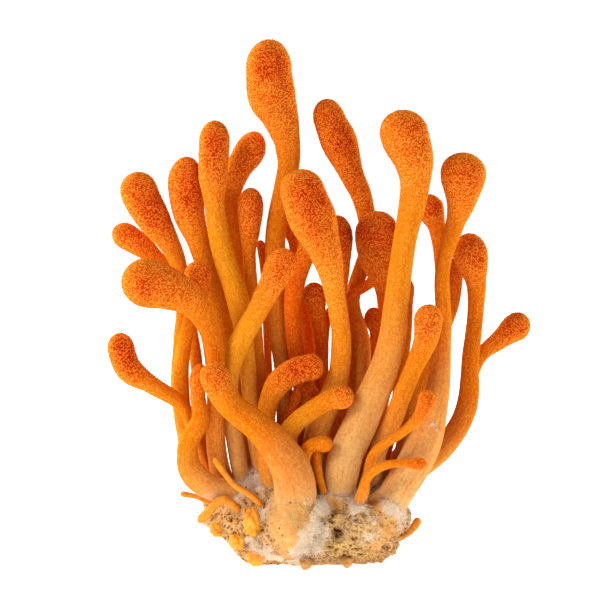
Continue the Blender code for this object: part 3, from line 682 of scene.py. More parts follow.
@dataclass
class Spine:
    """A path with a frame that turns as little as possible along it."""

    points: np.ndarray
    distance: np.ndarray
    tangent: np.ndarray = field(init=False)
    side: np.ndarray = field(init=False)

    def __post_init__(self) -> None:
        self.tangent = unit(np.gradient(self.points, self.distance, axis=0))
        side = np.zeros_like(self.points)
        start = np.cross(self.tangent[0], (0.0, 1.0, 0.0))
        side[0] = unit(start if np.linalg.norm(start) > 0.1 else np.array((1.0, 0.0, 0.0)))
        for index in range(1, len(side)):
            along = self.tangent[index]
            side[index] = unit(side[index - 1] - along * (side[index - 1] @ along))
        self.side = side

    def at(self, distance: np.ndarray) -> tuple[np.ndarray, np.ndarray, np.ndarray, np.ndarray]:
        """Gives places on the path and the frame there.

        Args:
            distance: distances from the tip.

        Returns:
            Points, tangents, side vectors and the vectors square to both.
        """
        read = [
            np.stack([np.interp(distance, self.distance, rows[:, axis]) for axis in range(3)], axis=1)
            for rows in (self.points, self.tangent, self.side)
        ]
        tangent = unit(read[1])
        side = unit(read[2] - tangent * (read[2] * tangent).sum(axis=1, keepdims=True))
        return read[0], tangent, side, np.cross(tangent, side)


# ---------------------------------------------------------------- shaders


class Signal:
    """A shader socket that Python's operators carry on with more nodes."""

    def __init__(self, graph: "Graph", socket) -> None:
        self.graph = graph
        self.socket = socket

    def _math(self, operation: str, *values) -> "Signal":
        node = self.graph.node("ShaderNodeMath", {"operation": operation}, dict(enumerate(values)))
        return Signal(self.graph, node.outputs[0])

    def __add__(self, other):
        return self._math("ADD", self, other)

    def __radd__(self, other):
        return self._math("ADD", other, self)

    def __sub__(self, other):
        return self._math("SUBTRACT", self, other)

    def __rsub__(self, other):
        return self._math("SUBTRACT", other, self)

    def __mul__(self, other):
        return self._math("MULTIPLY", self, other)

    def __rmul__(self, other):
        return self._math("MULTIPLY", other, self)

    def clamped(self) -> "Signal":
        """The value kept from 0 to 1."""
        node = self.graph.node("ShaderNodeClamp", {}, {"Value": self})
        return Signal(self.graph, node.outputs[0])

    def between(self, low: float, high: float) -> "Signal":
        """A smooth rise from 0 at low to 1 at high."""
        settings = {"interpolation_type": "SMOOTHSTEP"}
        inputs = {"Value": self, 1: low, 2: high, 3: 0.0, 4: 1.0}
        node = self.graph.node("ShaderNodeMapRange", settings, inputs)
        return Signal(self.graph, node.outputs[0])


class Graph:
    """The node tree of one Principled material."""

    def __init__(self, name: str) -> None:
        self.material = bpy.data.materials.new(name)
        self.material.use_nodes = True
        self.tree = self.material.node_tree
        self.shader = self.tree.nodes["Principled BSDF"]

    def node(self, kind: str, settings: dict, inputs: dict):
        """Adds any node.

        Args:
            kind: the node's type.
            settings: its properties.
            inputs: its sockets by name or number, each a Signal or a constant.

        Returns:
            The node.
        """
        made = self.tree.nodes.new(kind)
        for key, value in settings.items():
            setattr(made, key, value)
        for key, value in inputs.items():
            self.feed(made.inputs[key], value)
        return made

    def feed(self, socket, value) -> None:
        """Links a Signal to a socket, or sets a constant there."""
        if isinstance(value, Signal):
            self.tree.links.new(value.socket, socket)
        elif isinstance(value, tuple) and len(value) == 3 and socket.type == "RGBA":
            socket.default_value = (*value, 1.0)
        else:
            socket.default_value = value

    def place(self) -> Signal:
        """The piece's own Object coordinates."""
        return Signal(self, self.node("ShaderNodeTexCoord", {}, {}).outputs["Object"])

    def attribute(self, name: str) -> tuple[Signal, Signal, Signal, Signal]:
        """A vertex attribute as a vector and as its three numbers."""
        vector = self.node("ShaderNodeAttribute", {"attribute_name": name}, {}).outputs["Vector"]
        parts = self.node("ShaderNodeSeparateXYZ", {}, {0: Signal(self, vector)})
        return (Signal(self, vector), *(Signal(self, parts.outputs[axis]) for axis in range(3)))

    def noise(self, vector: Signal, scale: float, detail: float = 3.0, rough: float = 0.55) -> Signal:
        """Noise from 0 to 1 at a scale in waves a metre."""
        inputs = {"Vector": vector, "Scale": scale, "Detail": detail, "Roughness": rough}
        return Signal(self, self.node("ShaderNodeTexNoise", {}, inputs).outputs[0])

    def cells(self, vector: Signal, scale: float) -> Signal:
        """Distance to the middle of the nearest cell, at a scale in cells a metre."""
        inputs = {"Vector": vector, "Scale": scale}
        return Signal(self, self.node("ShaderNodeTexVoronoi", {"feature": "F1"}, inputs).outputs["Distance"])

    def mix(self, share, low, high) -> Signal:
        """Mixes two colours by a share from 0 to 1."""
        settings = {"data_type": "RGBA", "blend_type": "MIX", "clamp_factor": True}
        return Signal(self, self.node("ShaderNodeMix", settings, {0: share, 6: low, 7: high}).outputs[2])

    def bump(self, height: Signal, strength: float, depth: float) -> Signal:
        """A bump of some depth in metres."""
        inputs = {"Height": height, "Strength": strength, "Distance": depth}
        return Signal(self, self.node("ShaderNodeBump", {}, inputs).outputs["Normal"])

    def finish(self, **inputs):
        """Sets the shader's sockets, with underscores for the spaces in their names.

        Returns:
            The material.
        """
        for key, value in inputs.items():
            self.feed(self.shader.inputs[key.replace("_", " ")], value)
        return self.material


@dataclass(frozen=True)
class FleshFinish:
    """Skin of a fruiting body: grainy and red at the head, golden on the neck, paler towards the foot. Part
    of the head's red is painted shade on its front and back faces, and its grains carry painted highlights
    and painted shade.
    """

    name: str
    stalk: tuple
    shade: tuple
    foot: tuple
    gold: tuple = (0.80, 0.335, 0.010)
    # Grain tops are lighter and gaps darker: partly the grains' own colour, partly painted highlight on the
    # tops and painted shade in the gaps.
    grain_top_lit: tuple = (0.97, 0.365, 0.040)
    grain_gap_shaded: tuple = (0.70, 0.115, 0.0015)
    red_top_lit: tuple = (0.86, 0.165, 0.014)
    red_gap_shaded: tuple = (0.38, 0.018, 0.0002)
    # Painted glint on the tops of the grains.
    grain_glint: tuple = (1.0, 0.60, 0.22)
    cream: tuple = (0.80, 0.46, 0.13)
    glow: tuple = (0.94, 0.42, 0.024)
    stipple: tuple = (1.0, 0.47, 0.045)
    red_stalk: tuple = (0.74, 0.125, 0.006)
    # Golden grain gaps and tops, with the same painted shade in the gaps and painted highlight on the tops.
    gold_gap_shaded: tuple = (0.82, 0.23, 0.008)
    gold_top_lit: tuple = (1.0, 0.50, 0.055)
    crease: tuple = (0.56, 0.14, 0.006)
    bloom: tuple = (0.74, 0.50, 0.28)
    soil: tuple = (0.42, 0.21, 0.065)
    scatter: float = 0.35
    scatter_depth: float = 0.0012

    # Waves or cells a metre, except for the streaks, which follow the stretched coordinates.
    BLOTCHES = 230.0
    STREAKS = 1.3
    FINE_STREAKS = 4.5
    MOTTLES = 2600.0
    SPECKS = 4700.0
    WOOL = 2100.0
    RELIEF = 0.00009

    def build(self):
        """Builds the material.

        The attribute look holds how golden the stalk is, the grainy share and the grains' height. The
        attribute tone holds the share of pale foot, the share of white bloom and the redness of the tip,
        which is partly painted shade, deeper where a head faces the front or the back.
        The attribute fibre is the place in stretched coordinates that run along the stalk.

        Returns:
            The material.
        """
        graph = Graph(self.name)
        _, gold, grainy, height = graph.attribute("look")
        _, pale, bloom, red = graph.attribute("tone")
        fibre, _, _, _ = graph.attribute("fibre")
        place = graph.place()

        blotch = graph.noise(place, self.BLOTCHES, 3.0)
        streak = graph.noise(fibre, self.STREAKS, 3.0, 0.6)
        fine_streak = graph.noise(fibre, self.FINE_STREAKS, 3.0, 0.65)
        mottle = graph.noise(place, self.MOTTLES, 2.0, 0.6)
        stalk = graph.mix((streak * 1.8 - 0.4 + (blotch - 0.5) * 1.2).clamped(), self.shade, self.stalk)
        stalk = graph.mix((gold + (streak - 0.5) * 0.8 * gold).clamped(), stalk, self.gold)
        stalk = graph.mix((pale + (streak - 0.5) * 1.5 * pale).clamped(), stalk, self.foot)
        # The red share, with its painted shade on the front and back faces, also reddens the stalk below the
        # head.
        stalk = graph.mix((red * 0.75).clamped(), stalk, self.red_stalk)
        lines = 0.30 + pale * 0.70
        stalk = graph.mix(((fine_streak - 0.52) * 5.0).clamped() * lines, stalk, self.cream)
        stalk = graph.mix(((0.45 - fine_streak) * 5.0).clamped() * lines * 1.1, stalk, self.crease)
        glow = graph.mix(pale, self.glow, self.cream)
        stalk = graph.mix(((mottle - 0.5) * 5.0).clamped() * (0.36 + pale * 0.2), stalk, glow)
        stalk = graph.mix(((0.5 - mottle) * 5.0).clamped() * 0.38, stalk, self.crease)

        speck = graph.cells(place, self.SPECKS)
        upper = 1.0 - pale
        stalk = graph.mix(((0.40 - speck) * 4.0).clamped() * upper * 0.40, stalk, self.stipple)
        stalk = graph.mix(((speck - 0.48) * 4.0).clamped() * upper * 0.35, stalk, self.shade)
        # Lighter grain tops and darker gaps: painted highlight and painted shade, partly the grains' own
        # colour.
        lit_tops = (height * 0.25 + (0.66 - speck) * 1.25 + 0.06).between(0.0, 0.75)
        # Red of the tip, partly the tip's own colour and partly painted shade on the front and back faces.
        tip_red_and_shade = (red * (0.80 + (blotch - 0.5) * 2.4)).clamped()
        gap = graph.mix(tip_red_and_shade, graph.mix(gold * 0.8, self.grain_gap_shaded, self.gold_gap_shaded), self.red_gap_shaded)
        top = graph.mix(tip_red_and_shade, graph.mix(gold * 0.8, self.grain_top_lit, self.gold_top_lit), self.red_top_lit)
        ripe = graph.mix(lit_tops, gap, top)
        # Painted glints on the tops of the highest grains.
        sparkle = (0.30 - speck).between(0.0, 0.25) * (height - 0.1).between(0.0, 0.6)
        ripe = graph.mix(sparkle * 0.55, ripe, self.grain_glint)
        skin = graph.mix(grainy, stalk, ripe)
        woolly = graph.noise(place, self.WOOL, 4.0, 0.7)
        ground = graph.mix(((woolly - 0.46) * 6.0).clamped(), self.bloom, self.soil)
        skin = graph.mix((bloom * 1.5 - (mottle - 0.3) * 1.6 * bloom).clamped(), skin, ground)

        relief = (0.6 - speck) * (grainy * 1.6 + upper * (1.0 - grainy) * 0.7)
        relief = relief + fine_streak * (1.0 - grainy) * 0.5 + woolly * (0.2 + bloom)
        return graph.finish(
            Base_Color=skin,
            Roughness=0.55 + grainy * 0.06 + bloom * 0.25,
            Subsurface_Weight=self.scatter,
            Subsurface_Radius=(1.0, 0.25, 0.06),
            Subsurface_Scale=self.scatter_depth,
            Specular_IOR_Level=0.0,
            Normal=graph.bump(relief, 0.8, self.RELIEF),
        )


@dataclass(frozen=True)
class ClumpFinish:
    """Surface of the clump: pale threads over tan crumb with brown painted shade between its grains,
    near-black painted shade in the pores, cottony patches and coloured edges.
    """

    name: str = "mycelium"
    crumb: tuple = (0.60, 0.33, 0.125)
    straw: tuple = (0.70, 0.45, 0.19)
    # Brown painted shade between the grains of crumb.
    brown: tuple = (0.30, 0.125, 0.028)
    thread: tuple = (0.80, 0.57, 0.34)
    cotton: tuple = (0.86, 0.69, 0.50)
    flesh: tuple = (0.76, 0.36, 0.095)
    cream: tuple = (0.80, 0.46, 0.17)
    # Near-black painted shade in the pits and cavities.
    pore_shade: tuple = (0.17, 0.060, 0.012)
    orange: tuple = (0.86, 0.36, 0.045)
    amber: tuple = (0.78, 0.48, 0.16)
    yellow: tuple = (0.80, 0.54, 0.10)
    rust: tuple = (0.46, 0.165, 0.022)

    # Waves or cells a metre.
    PATCHES = 420.0
    STREAKS = 1100.0
    WEB = 1500.0
    SPECKS = 3600.0
    GRAIN = 4200.0
    THREAD_THINNESS = 260.0
    RELIEF = 0.00014

    def build(self):
        """Builds the material.

        The attribute look holds the shares of cotton, painted shade in the pores and orange tint. The
        attribute tint holds the shares of orange-cream flesh, yellow and rust.

        Returns:
            The material.
        """
        graph = Graph(self.name)
        _, cotton, pore_shade, orange = graph.attribute("look")
        _, flesh, yellow, rust = graph.attribute("tint")
        place = graph.place()
        patch = graph.noise(place, self.PATCHES, 4.0)
        rough = (1.0 - flesh * 1.1).clamped()
        fine = graph.noise(place, self.GRAIN, 3.0, 0.7)
        web = graph.noise(place, self.WEB, 3.0, 0.6) - 0.5
        speck = graph.cells(place, self.SPECKS)
        body = graph.mix((patch - 0.5) * 3.0 + 0.45, self.crumb, self.straw)
        body = graph.mix((rust * (0.3 + patch * 1.2)).clamped(), body, self.rust)
        body = graph.mix((yellow * (patch * 2.6 - 0.5)).clamped(), body, self.yellow)
        tint = graph.mix(web + 0.5, self.orange, self.amber)
        body = graph.mix((orange * (0.55 + patch * 0.9)).clamped(), body, tint)
        # Painted shade: brown between the grains of crumb.
        shadow = ((speck - 0.45) * 3.2 + (fine - 0.5) * 1.5).clamped()
        body = graph.mix(shadow * (0.70 - cotton * 0.45), body, self.brown)
        strands = (1.0 - web * web * self.THREAD_THINNESS).clamped()
        body = graph.mix(strands * (0.60 + cotton * 0.35), body, self.thread)
        # Painted shade darkens the pits and cavities.
        body = graph.mix((pore_shade * 1.2 - cotton * 0.3).clamped() * rough, body, self.pore_shade)
        streak = graph.noise(place, self.STREAKS, 3.0, 0.6)
        skin = graph.mix((streak - 0.42) * 4.0, self.flesh, self.cream)
        covered = flesh * 2.4 - 0.25 - (fine - 0.4) * 1.6 - (speck - 0.4) * 0.8
        body = graph.mix(covered.clamped(), body, skin)
        body = graph.mix((cotton * 1.4 - (fine - 0.3) * 1.2).clamped() * 0.92, body, self.cotton)
        relief = fine * 0.8 - speck * 0.9 + strands * 0.5
        return graph.finish(
            Base_Color=body,
            Roughness=0.85,
            Subsurface_Weight=0.15,
            Subsurface_Radius=(1.0, 0.5, 0.25),
            Subsurface_Scale=0.0004,
            Specular_IOR_Level=0.05,
            Normal=graph.bump(relief, 0.9, self.RELIEF),
        )


@dataclass(frozen=True)
class PlainFinish:
    """One colour with a little mottling, for fine fibres, crumbs, nodules and the floor."""

    name: str
    colour: tuple
    mottle: tuple
    roughness: float = 0.7
    scatter: float = 0.0
    scatter_depth: float = 0.0005
    wave: float = 900.0
    shine: float = 0.05

    def build(self):
        """Builds the material.

        Returns:
            The material.
        """
        graph = Graph(self.name)
        patch = graph.noise(graph.place(), self.wave, 4.0)
        return graph.finish(
            Base_Color=graph.mix((patch - 0.35) * 2.5, self.colour, self.mottle),
            Roughness=self.roughness,
            Subsurface_Weight=self.scatter,
            Subsurface_Radius=(1.0, 0.45, 0.15),
            Subsurface_Scale=self.scatter_depth,
            Specular_IOR_Level=self.shine,
        )


# ---------------------------------------------------------------- the clump's shape


@dataclass(frozen=True)
class ClumpShape:
    """The lumpy ellipsoid of the clump, as the solid has it, in millimetres."""

    centre: tuple = (0.0, 0.0, 5.2)
    semi_axes: tuple = (13.4, 11.0, 6.3)
    lump: float = 0.55

    def surface(self, direction: np.ndarray) -> np.ndarray:
        """Places on the clump in given directions from its centre.

        Args:
            direction: unit vectors.

        Returns:
            Points in millimetres.
        """
        x, y, z = direction[..., 0], direction[..., 1], direction[..., 2]
        waves = (
            np.sin(5.1 * x + 1.3) * np.cos(4.3 * y - 0.4)
            + 0.7 * np.sin(7.9 * y + 3.1 * z + 0.9)
            + 0.6 * np.cos(9.7 * x - 5.3 * z + 2.0)
        )
        axes = np.array(self.semi_axes)
        lumps = unit(direction / axes) * (self.lump * waves)[..., None]
        return np.array(self.centre) + direction * axes + lumps


CLUMP = ClumpShape()


# ---------------------------------------------------------------- pieces


@dataclass
class Club:
    """One fruiting body with its grainy head and fibrous stalk, or a smooth thin outgrowth."""

    name: str
    route: Route
    tone: Tone
    material: object
    fertile: bool = True
    seed: int = 0

    HEAD_PITCH = 0.13
    STALK_PITCH = 0.32
    GRAIN = 0.30
    GRAIN_HEIGHT = 0.11
    GROOVE = 0.055

    # The deep rows make the shaded copy, with a less pale foot, less bloom and redder tips: painted shade.
    PALEST = {Tone.PALE: 1.0, Tone.GOLDEN: 0.85, Tone.DEEP_SHADED: 0.55}
    PALE_FROM = {Tone.PALE: 0.33, Tone.GOLDEN: 0.42, Tone.DEEP_SHADED: 0.5}
    BLOOM = {Tone.PALE: 0.95, Tone.GOLDEN: 0.8, Tone.DEEP_SHADED: 0.5}
    # REDDEST scales the tip's red together with its painted shade; the focus below narrows that painted shade
    # to the front and back faces.
    REDDEST = {Tone.PALE: 0.80, Tone.GOLDEN: 1.0, Tone.DEEP_SHADED: 1.15}
    FACING_SHADE_FOCUS = {Tone.PALE: 1.2, Tone.GOLDEN: 1.0, Tone.DEEP_SHADED: 0.4}

    def __post_init__(self) -> None:
        distance = np.linspace(0.0, self.route.distance[-1], 800)
        radii = self.route.radius(distance)
        widest = int(np.searchsorted(distance, self.route.dome))
        self.head = radii[widest]
        self.widest = max(self.head, 0.8 * radii.max())
        self.length = distance[-1]
        limit = max(int(np.searchsorted(distance, 0.4 * self.length)), widest + 20)
        self.neck = radii[widest:limit].min()
        falling = radii[widest:] < self.neck + 0.30 * (self.head - self.neck) + 1e-6
        self.head_end = distance[widest + int(falling.argmax())]
        self.grain_end = GRAIN_REACH.get(self.name, 1.3) * self.head_end
        self.spine = Spine(self.route.points, self.route.distance)
        turn = np.array([self.seed * 2.399, self.seed * 1.113])
        self.lobes = np.mod(turn, 2 * math.pi)

    def _radius(self, distance: np.ndarray, angle: np.ndarray) -> np.ndarray:
        """Radius of the skin, out of round by two and three broad lobes that fade out on the dome."""
        radius = self.route.radius(distance)[:, None]
        free = 0.35 + 0.65 * smooth_step(0.4 * self.head_end, 1.3 * self.head_end, distance)[:, None]
        free = free * smooth_step(0.0, self.route.dome, distance)[:, None]
        turn = 0.05 * distance[:, None]
        broad = 0.055 * np.cos(2 * angle + self.lobes[0] + turn)
        lobes = broad + 0.035 * np.cos(3 * angle + self.lobes[1] - turn)
        return radius * (1 + free * lobes)

    def _block(self, distance: np.ndarray, columns: int) -> dict:
        """Computes rings of skin.

        Args:
            distance: the rings' distances from the tip, in millimetres.
            columns: vertices in a ring.

        Returns:
            Points in millimetres and the vertex attributes, as flat rows.
        """
        angle = np.arange(columns)[None, :] * (2 * math.pi / columns)
        centre, tangent, side, cross = self.spine.at(distance)
        radial = np.cos(angle)[..., None] * side[:, None] + np.sin(angle)[..., None] * cross[:, None]
        radius = self._radius(distance, angle)
        step = 1e-3
        before = self.route.radius(np.maximum(distance - step, 0))
        slope = (self.route.radius(distance + step) - before) / (2 * step)
        normal = unit(radial - slope[:, None, None] * tangent[:, None])
        points = (centre[:, None] + radial * radius[..., None]).reshape(-1, 3)
        normal = normal.reshape(-1, 3)
        far = np.repeat(distance, columns)
        around = np.tile(angle.reshape(-1), len(distance))
        spread = 1.6 * self.neck
        fibre = np.stack((np.cos(around) * spread, np.sin(around) * spread, far * 0.12), axis=1)
        fibre += self.seed * 3.7

        ragged = value_noise(points, 0.8, 31) - 0.5
        grainy = smooth_step(self.grain_end + 0.5, 0.45 * self.grain_end, far + ragged * 2.2)
        grainy = grainy * self.fertile * (0.35 + 0.65 * smooth_step(0.9, 1.6, self.widest))
        height = np.zeros(len(points))
        on_head = grainy > 0.01
        if on_head.any():
            reach, number = cell_noise(points[on_head] + self.seed, self.GRAIN, 5)
            fine, _ = cell_noise(points[on_head] + self.seed, self.GRAIN * 0.55, 9)
            grain = np.clip(1 - (reach / 0.68) ** 2, 0, 1) * (0.55 + 0.45 * number)
            height[on_head] = 0.82 * grain + 0.18 * np.clip(1 - fine, 0, 1)
        size = min(1.0, 0.45 + self.widest / 4.5)
        lift = grainy * size * self.GRAIN_HEIGHT * (height - 0.35)

        groove = value_noise(fibre * np.array((3.0, 3.0, 2.0)), 1.0, 41) + 0.5 * value_noise(
            fibre * np.array((7.0, 7.0, 4.0)), 1.0, 43
        )
        bare = (1 - grainy) * smooth_step(0.0, self.route.dome, far)
        lift += bare * self.GROOVE * (groove - 0.75) * np.minimum(1.0, self.neck)
        wave = layered_noise(points, 4.5, 51, 2) - 0.5
        lift += wave * 0.22 * self.widest / 3.0 * smooth_step(0.2 * self.route.dome, self.route.dome, far)
        points += normal * lift[:, None]

        pale, bloom, red = self._tones(far, points, normal)
        lift = bloom * 0.28 * (layered_noise(points, 0.5, 65, 2) - 0.5)
        points += normal * lift[:, None]
        return {
            "points": points,
            "look": np.stack((self._gold(far), grainy, height), axis=1),
            "tone": np.stack((pale, bloom, red), axis=1),
            "fibre": fibre,
        }

    def _gold(self, far: np.ndarray) -> np.ndarray:
        """How golden the stalk is at distances from the tip."""
        share = far / self.length
        most = GOLD.get(self.name, 0.35)
        return most * smooth_step(0.08, 0.35, share) * (1 - 0.3 * smooth_step(0.7, 1.0, share))

    def _tones(self, far: np.ndarray, points: np.ndarray, normal: np.ndarray) -> tuple:
        """Shares of pale foot, white bloom and red tip. The red is partly painted shade: deeper where a head
        faces the front or the back, golden at its sides.
        """
        pale = self.PALEST[self.tone] * smooth_step(self.PALE_FROM[self.tone], 1.0, far / self.length)
        bloom = smooth_step(10.5, 6.0, points[:, 2] + (layered_noise(points, 1.6, 61, 2) - 0.5) * 6.0)
        bloom = bloom * self.BLOOM[self.tone]
        # Painted shade: heads are deeper red where they face the front or the back, and stay golden at their
        # sides.
        facing = normal @ unit(np.array((0.25, -1.0, 0.30)))
        behind = 0.8 * smooth_step(0.2, 0.9, -facing)
        patch = 0.28 + 0.72 * np.maximum(smooth_step(0.35, 0.95, facing), behind)
        patch = patch ** self.FACING_SHADE_FOCUS[self.tone]
        along = smooth_step(1.25 * self.head_end, 0.35 * self.head_end, far)
        along = along * (0.55 + 0.45 * smooth_step(0.0, 0.9 * self.route.dome, far))
        return pale, bloom, self.REDDEST[self.tone] * along * patch * self.fertile

    def _rings(self) -> tuple[np.ndarray, np.ndarray]:
        """Distances of the fine rings on the head and of the coarse ones on the stalk."""
        pitch = self.HEAD_PITCH
        dome_rows = max(7, round(1.25 * self.route.dome / pitch))
        turn = np.linspace(0.0, math.pi / 2, dome_rows + 1)[1:]
        dome = self.route.dome * (1 - np.cos(turn))
        switch = min(self.grain_end + 0.8, 0.8 * self.length)
        head = np.arange(self.route.dome + pitch, switch, pitch)
        stalk = np.arange(switch + pitch, self.length, self.STALK_PITCH)
        return np.concatenate((dome, head)), np.append(stalk, self.length)

    def build(self):
        """Builds the skin: a pole at the tip, fine rings, a band that halves the columns, and coarse rings.

        Returns:
            The object.
        """
        fine, coarse = self._rings()
        columns = max(12, 2 * round(math.pi * self.widest / self.HEAD_PITCH / 2))
        half = columns // 2
        tip = self._block(np.array([1e-4]), 4)
        upper = self._block(fine, columns)
        lower = self._block(coarse, half)
        keys = ("look", "tone", "fibre")
        foot_centre = lower["points"][-half:].mean(axis=0, keepdims=True)
        top = tip["points"].mean(axis=0, keepdims=True)
        points = np.concatenate((top, upper["points"], lower["points"], foot_centre))
        looks = {
            key: np.concatenate((upper[key][:1], upper[key], lower[key], lower[key][-1:])) for key in keys
        }
        start = 1 + len(fine) * columns
        last = start + (len(coarse) - 1) * half
        faces = np.concatenate(
            (
                fan(0, 1 + np.arange(columns), outward=False),
                ring_quads(len(fine), columns, 1),
                halving_band(start - columns, start, half),
                ring_quads(len(coarse), half, start),
                fan(len(points) - 1, last + np.arange(half), outward=True),
            )
        )
        piece = make_mesh(self.name + "_skin", points * MM, faces, self.material, looks)
        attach(piece, BODY)
        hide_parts(self.name)
        LOG.info("%s: %d vertices, %d faces", piece.name, len(points), len(faces))
        return piece


@dataclass
class Clump:
    """The clump of crumb and mycelium that the fruiting bodies rise from."""

    routes: list[Route]
    material: object
    rows: int = 210
    columns: int = 460

    # Places on the clump in millimetres, each with its reach.
    COTTON = (
        (-5.1, -8.8, 2.7, 2.1), (0.9, -9.9, 3.8, 1.9), (1.7, -10.2, 5.6, 1.4), (2.4, -9.8, 7.8, 1.2),
        (7.2, -8.6, 5.8, 1.7), (6.4, -8.6, 7.6, 1.0), (4.4, -8.0, 10.0, 1.6), (-6.8, -6.5, 10.9, 1.9),
        (-5.6, -8.8, 7.4, 1.3), (-1.2, -8.4, 1.3, 1.3), (10.2, -6.0, 7.4, 1.2), (-9.0, -7.0, 8.4, 0.9),
        (3.5, 9.0, 4.5, 3.0), (-6.5, 8.2, 5.5, 2.6), (9.5, 6.0, 6.5, 2.2), (-11.8, 2.5, 4.5, 2.0),
        (12.2, 1.5, 5.5, 1.8),
    )
    CAVITIES = ((4.3, -10.2, 5.3, 0.9), (3.6, -9.3, 8.5, 0.75), (7.9, -7.4, 8.6, 1.5), (-2.0, 10.4, 6.3, 1.0))
    RIDGES = ((3.0, -9.9, 6.2, 0.6), (4.2, -9.6, 6.9, 0.6), (5.5, -9.4, 6.1, 0.6), (2.7, -9.9, 5.0, 0.7))
    ORANGE = (
        (-11.5, -6.0, 4.5, 4.2), (-8.0, -8.0, 2.6, 3.0), (-8.6, -8.0, 6.4, 3.0), (-12.0, -3.0, 7.5, 3.2),
        (-9.0, 7.0, 3.0, 2.5), (8.0, 8.0, 3.0, 2.2), (9.7, -7.0, 6.7, 0.8), (4.4, -9.3, 8.0, 0.5),
    )
    FLESH = (
        (-1.6, -11.0, 8.4, 3.0), (-1.9, -11.2, 6.0, 2.7), (-1.4, -10.8, 4.0, 2.0), (9.8, -7.4, 7.8, 2.2),
        (9.2, -8.0, 5.6, 1.6), (8.6, -8.2, 3.6, 1.0), (-10.5, -6.5, 8.6, 1.8), (3.8, -9.0, 9.0, 1.3),
    )
    YELLOW = ((6.0, -8.8, 4.2, 1.6), (4.4, -9.4, 3.0, 1.4), (7.0, -7.8, 2.6, 1.4), (3.4, -9.8, 6.6, 0.9))
    RUST = (
        (11.8, -4.5, 4.5, 3.0), (9.6, -6.2, 1.8, 2.8), (5.0, -8.0, 0.5, 1.6), (12.3, -2.5, 7.5, 2.0),
        (9.0, 6.5, 2.0, 3.0),
    )
    # Bulges and hollows, with the height in millimetres last.
    SKIRTS = (
        (-1.5, -10.0, 8.0, 2.3, 2.6), (-1.9, -10.3, 5.0, 2.1, 1.3), (-1.8, -9.8, 2.4, 1.8, 0.6),
        (9.6, -7.6, 6.6, 2.2, 1.4), (8.8, -8.0, 4.2, 2.0, 0.8), (3.6, -9.0, 8.2, 1.6, 0.6),
        (-10.2, -6.8, 8.4, 1.6, 0.5),
        (-11.8, -1.0, 3.2, 3.4, -1.2), (-9.4, -1.5, 0.8, 3.0, -1.1), (10.5, -2.0, 1.6, 2.6, 0.6),
    )

    def _spots(self, points: np.ndarray, spots: tuple) -> np.ndarray:
        """Strongest of several round soft spots at each point, from 0 to 1."""
        total = np.zeros(len(points))
        for x, y, z, reach in spots:
            apart = ((points - np.array((x, y, z))) ** 2).sum(axis=1)
            total = np.maximum(total, np.exp(-apart / reach**2))
        return total

    def _gap_to_feet(self, points: np.ndarray) -> np.ndarray:
        """Distance from each point to the nearest foot's skin, in millimetres."""
        near, widths = [], []
        for route in self.routes:
            low = (route.points[:, 2] < 14.0) & (route.points[:, 2] > 5.5)
            near.append(route.points[low])
            widths.append(route.radius(route.distance)[low])
        near, widths = np.concatenate(near), np.concatenate(widths)
        gap = np.full(len(points), 9.0)
        for place, width in zip(near, widths):
            gap = np.minimum(gap, np.sqrt(((points - place) ** 2).sum(axis=1)) - width)
        return gap

    def _pits(self, points: np.ndarray, cell: float, seed: int, share: float) -> np.ndarray:
        """Uneven pits, one in a share of the cells, from 0 to 1 at their bottoms."""
        bend = [value_noise(points, 0.7 * cell, seed + axis) for axis in range(3)]
        reach, number = cell_noise(points + (np.stack(bend, axis=1) - 0.5) * cell * 0.9, cell, seed)
        return smooth_step(0.50, 0.16, reach + 0.15 * number) * (number < share)

    def build(self):
        """Builds the clump as a grid of directions, pushed out and in along its normals, and flat underneath.

        Returns:
            The object, its points in millimetres, its outward normals, and its shares of cotton, painted
            shade in the pores and orange tint.
        """
        direction = sphere_directions(self.rows, self.columns)
        base = CLUMP.surface(direction)
        normal = unit(direction / np.array(CLUMP.semi_axes))

        close = np.maximum(self._gap_to_feet(base), 0)
        ragged = layered_noise(base, 1.4, 71) - 0.5
        cotton = self._spots(base, self.COTTON) * 1.35 + ragged * 1.5
        cotton = cotton + (layered_noise(base, 4.0, 72, 2) - 0.5) * 0.7
        cotton = smooth_step(0.34, 0.90, cotton + 0.35 * np.exp(-((close / 0.7) ** 2)))
        flesh = self._spots(base, self.FLESH)
        open_crumb = (1 - 0.8 * cotton) * (1 - 0.75 * np.clip(1.5 * flesh - 0.4, 0, 1))
        pits = self._pits(base, 0.85, 73, 0.45) * open_crumb
        small_pits = self._pits(base, 0.48, 75, 0.6) * open_crumb
        cavity = self._spots(base, self.CAVITIES)
        ridge = self._spots(base, self.RIDGES)

        grow = (layered_noise(base, 2.8, 77) - 0.5) * 1.1
        grow += (layered_noise(base, 0.7, 79) - 0.5) * (0.45 + 0.45 * open_crumb)
        grow += cotton * (0.10 + 0.25 * value_noise(base, 0.6, 81)) + 0.55 * ridge
        grow += 1.0 * np.exp(-((close / 0.95) ** 2))
        for x, y, z, reach, height in self.SKIRTS:
            apart = (base - np.array((x, y, z))) * np.array((1.0, 0.6, 0.75))
            grow += height * np.exp(-((apart**2).sum(axis=1)) / reach**2)
        grow -= 0.42 * pits + 0.24 * small_pits + 1.5 * cavity * (1 - ridge)
        points = base + normal * grow[:, None]
        under = points[:, 2] < 0
        scale = CLUMP.centre[2] / np.maximum(CLUMP.centre[2] - points[:, 2], 1e-6)
        centre = np.array(CLUMP.centre)
        points[under] = centre + (points[under] - centre) * scale[under][:, None]
        points[:, 2] = np.maximum(points[:, 2], 0.0)

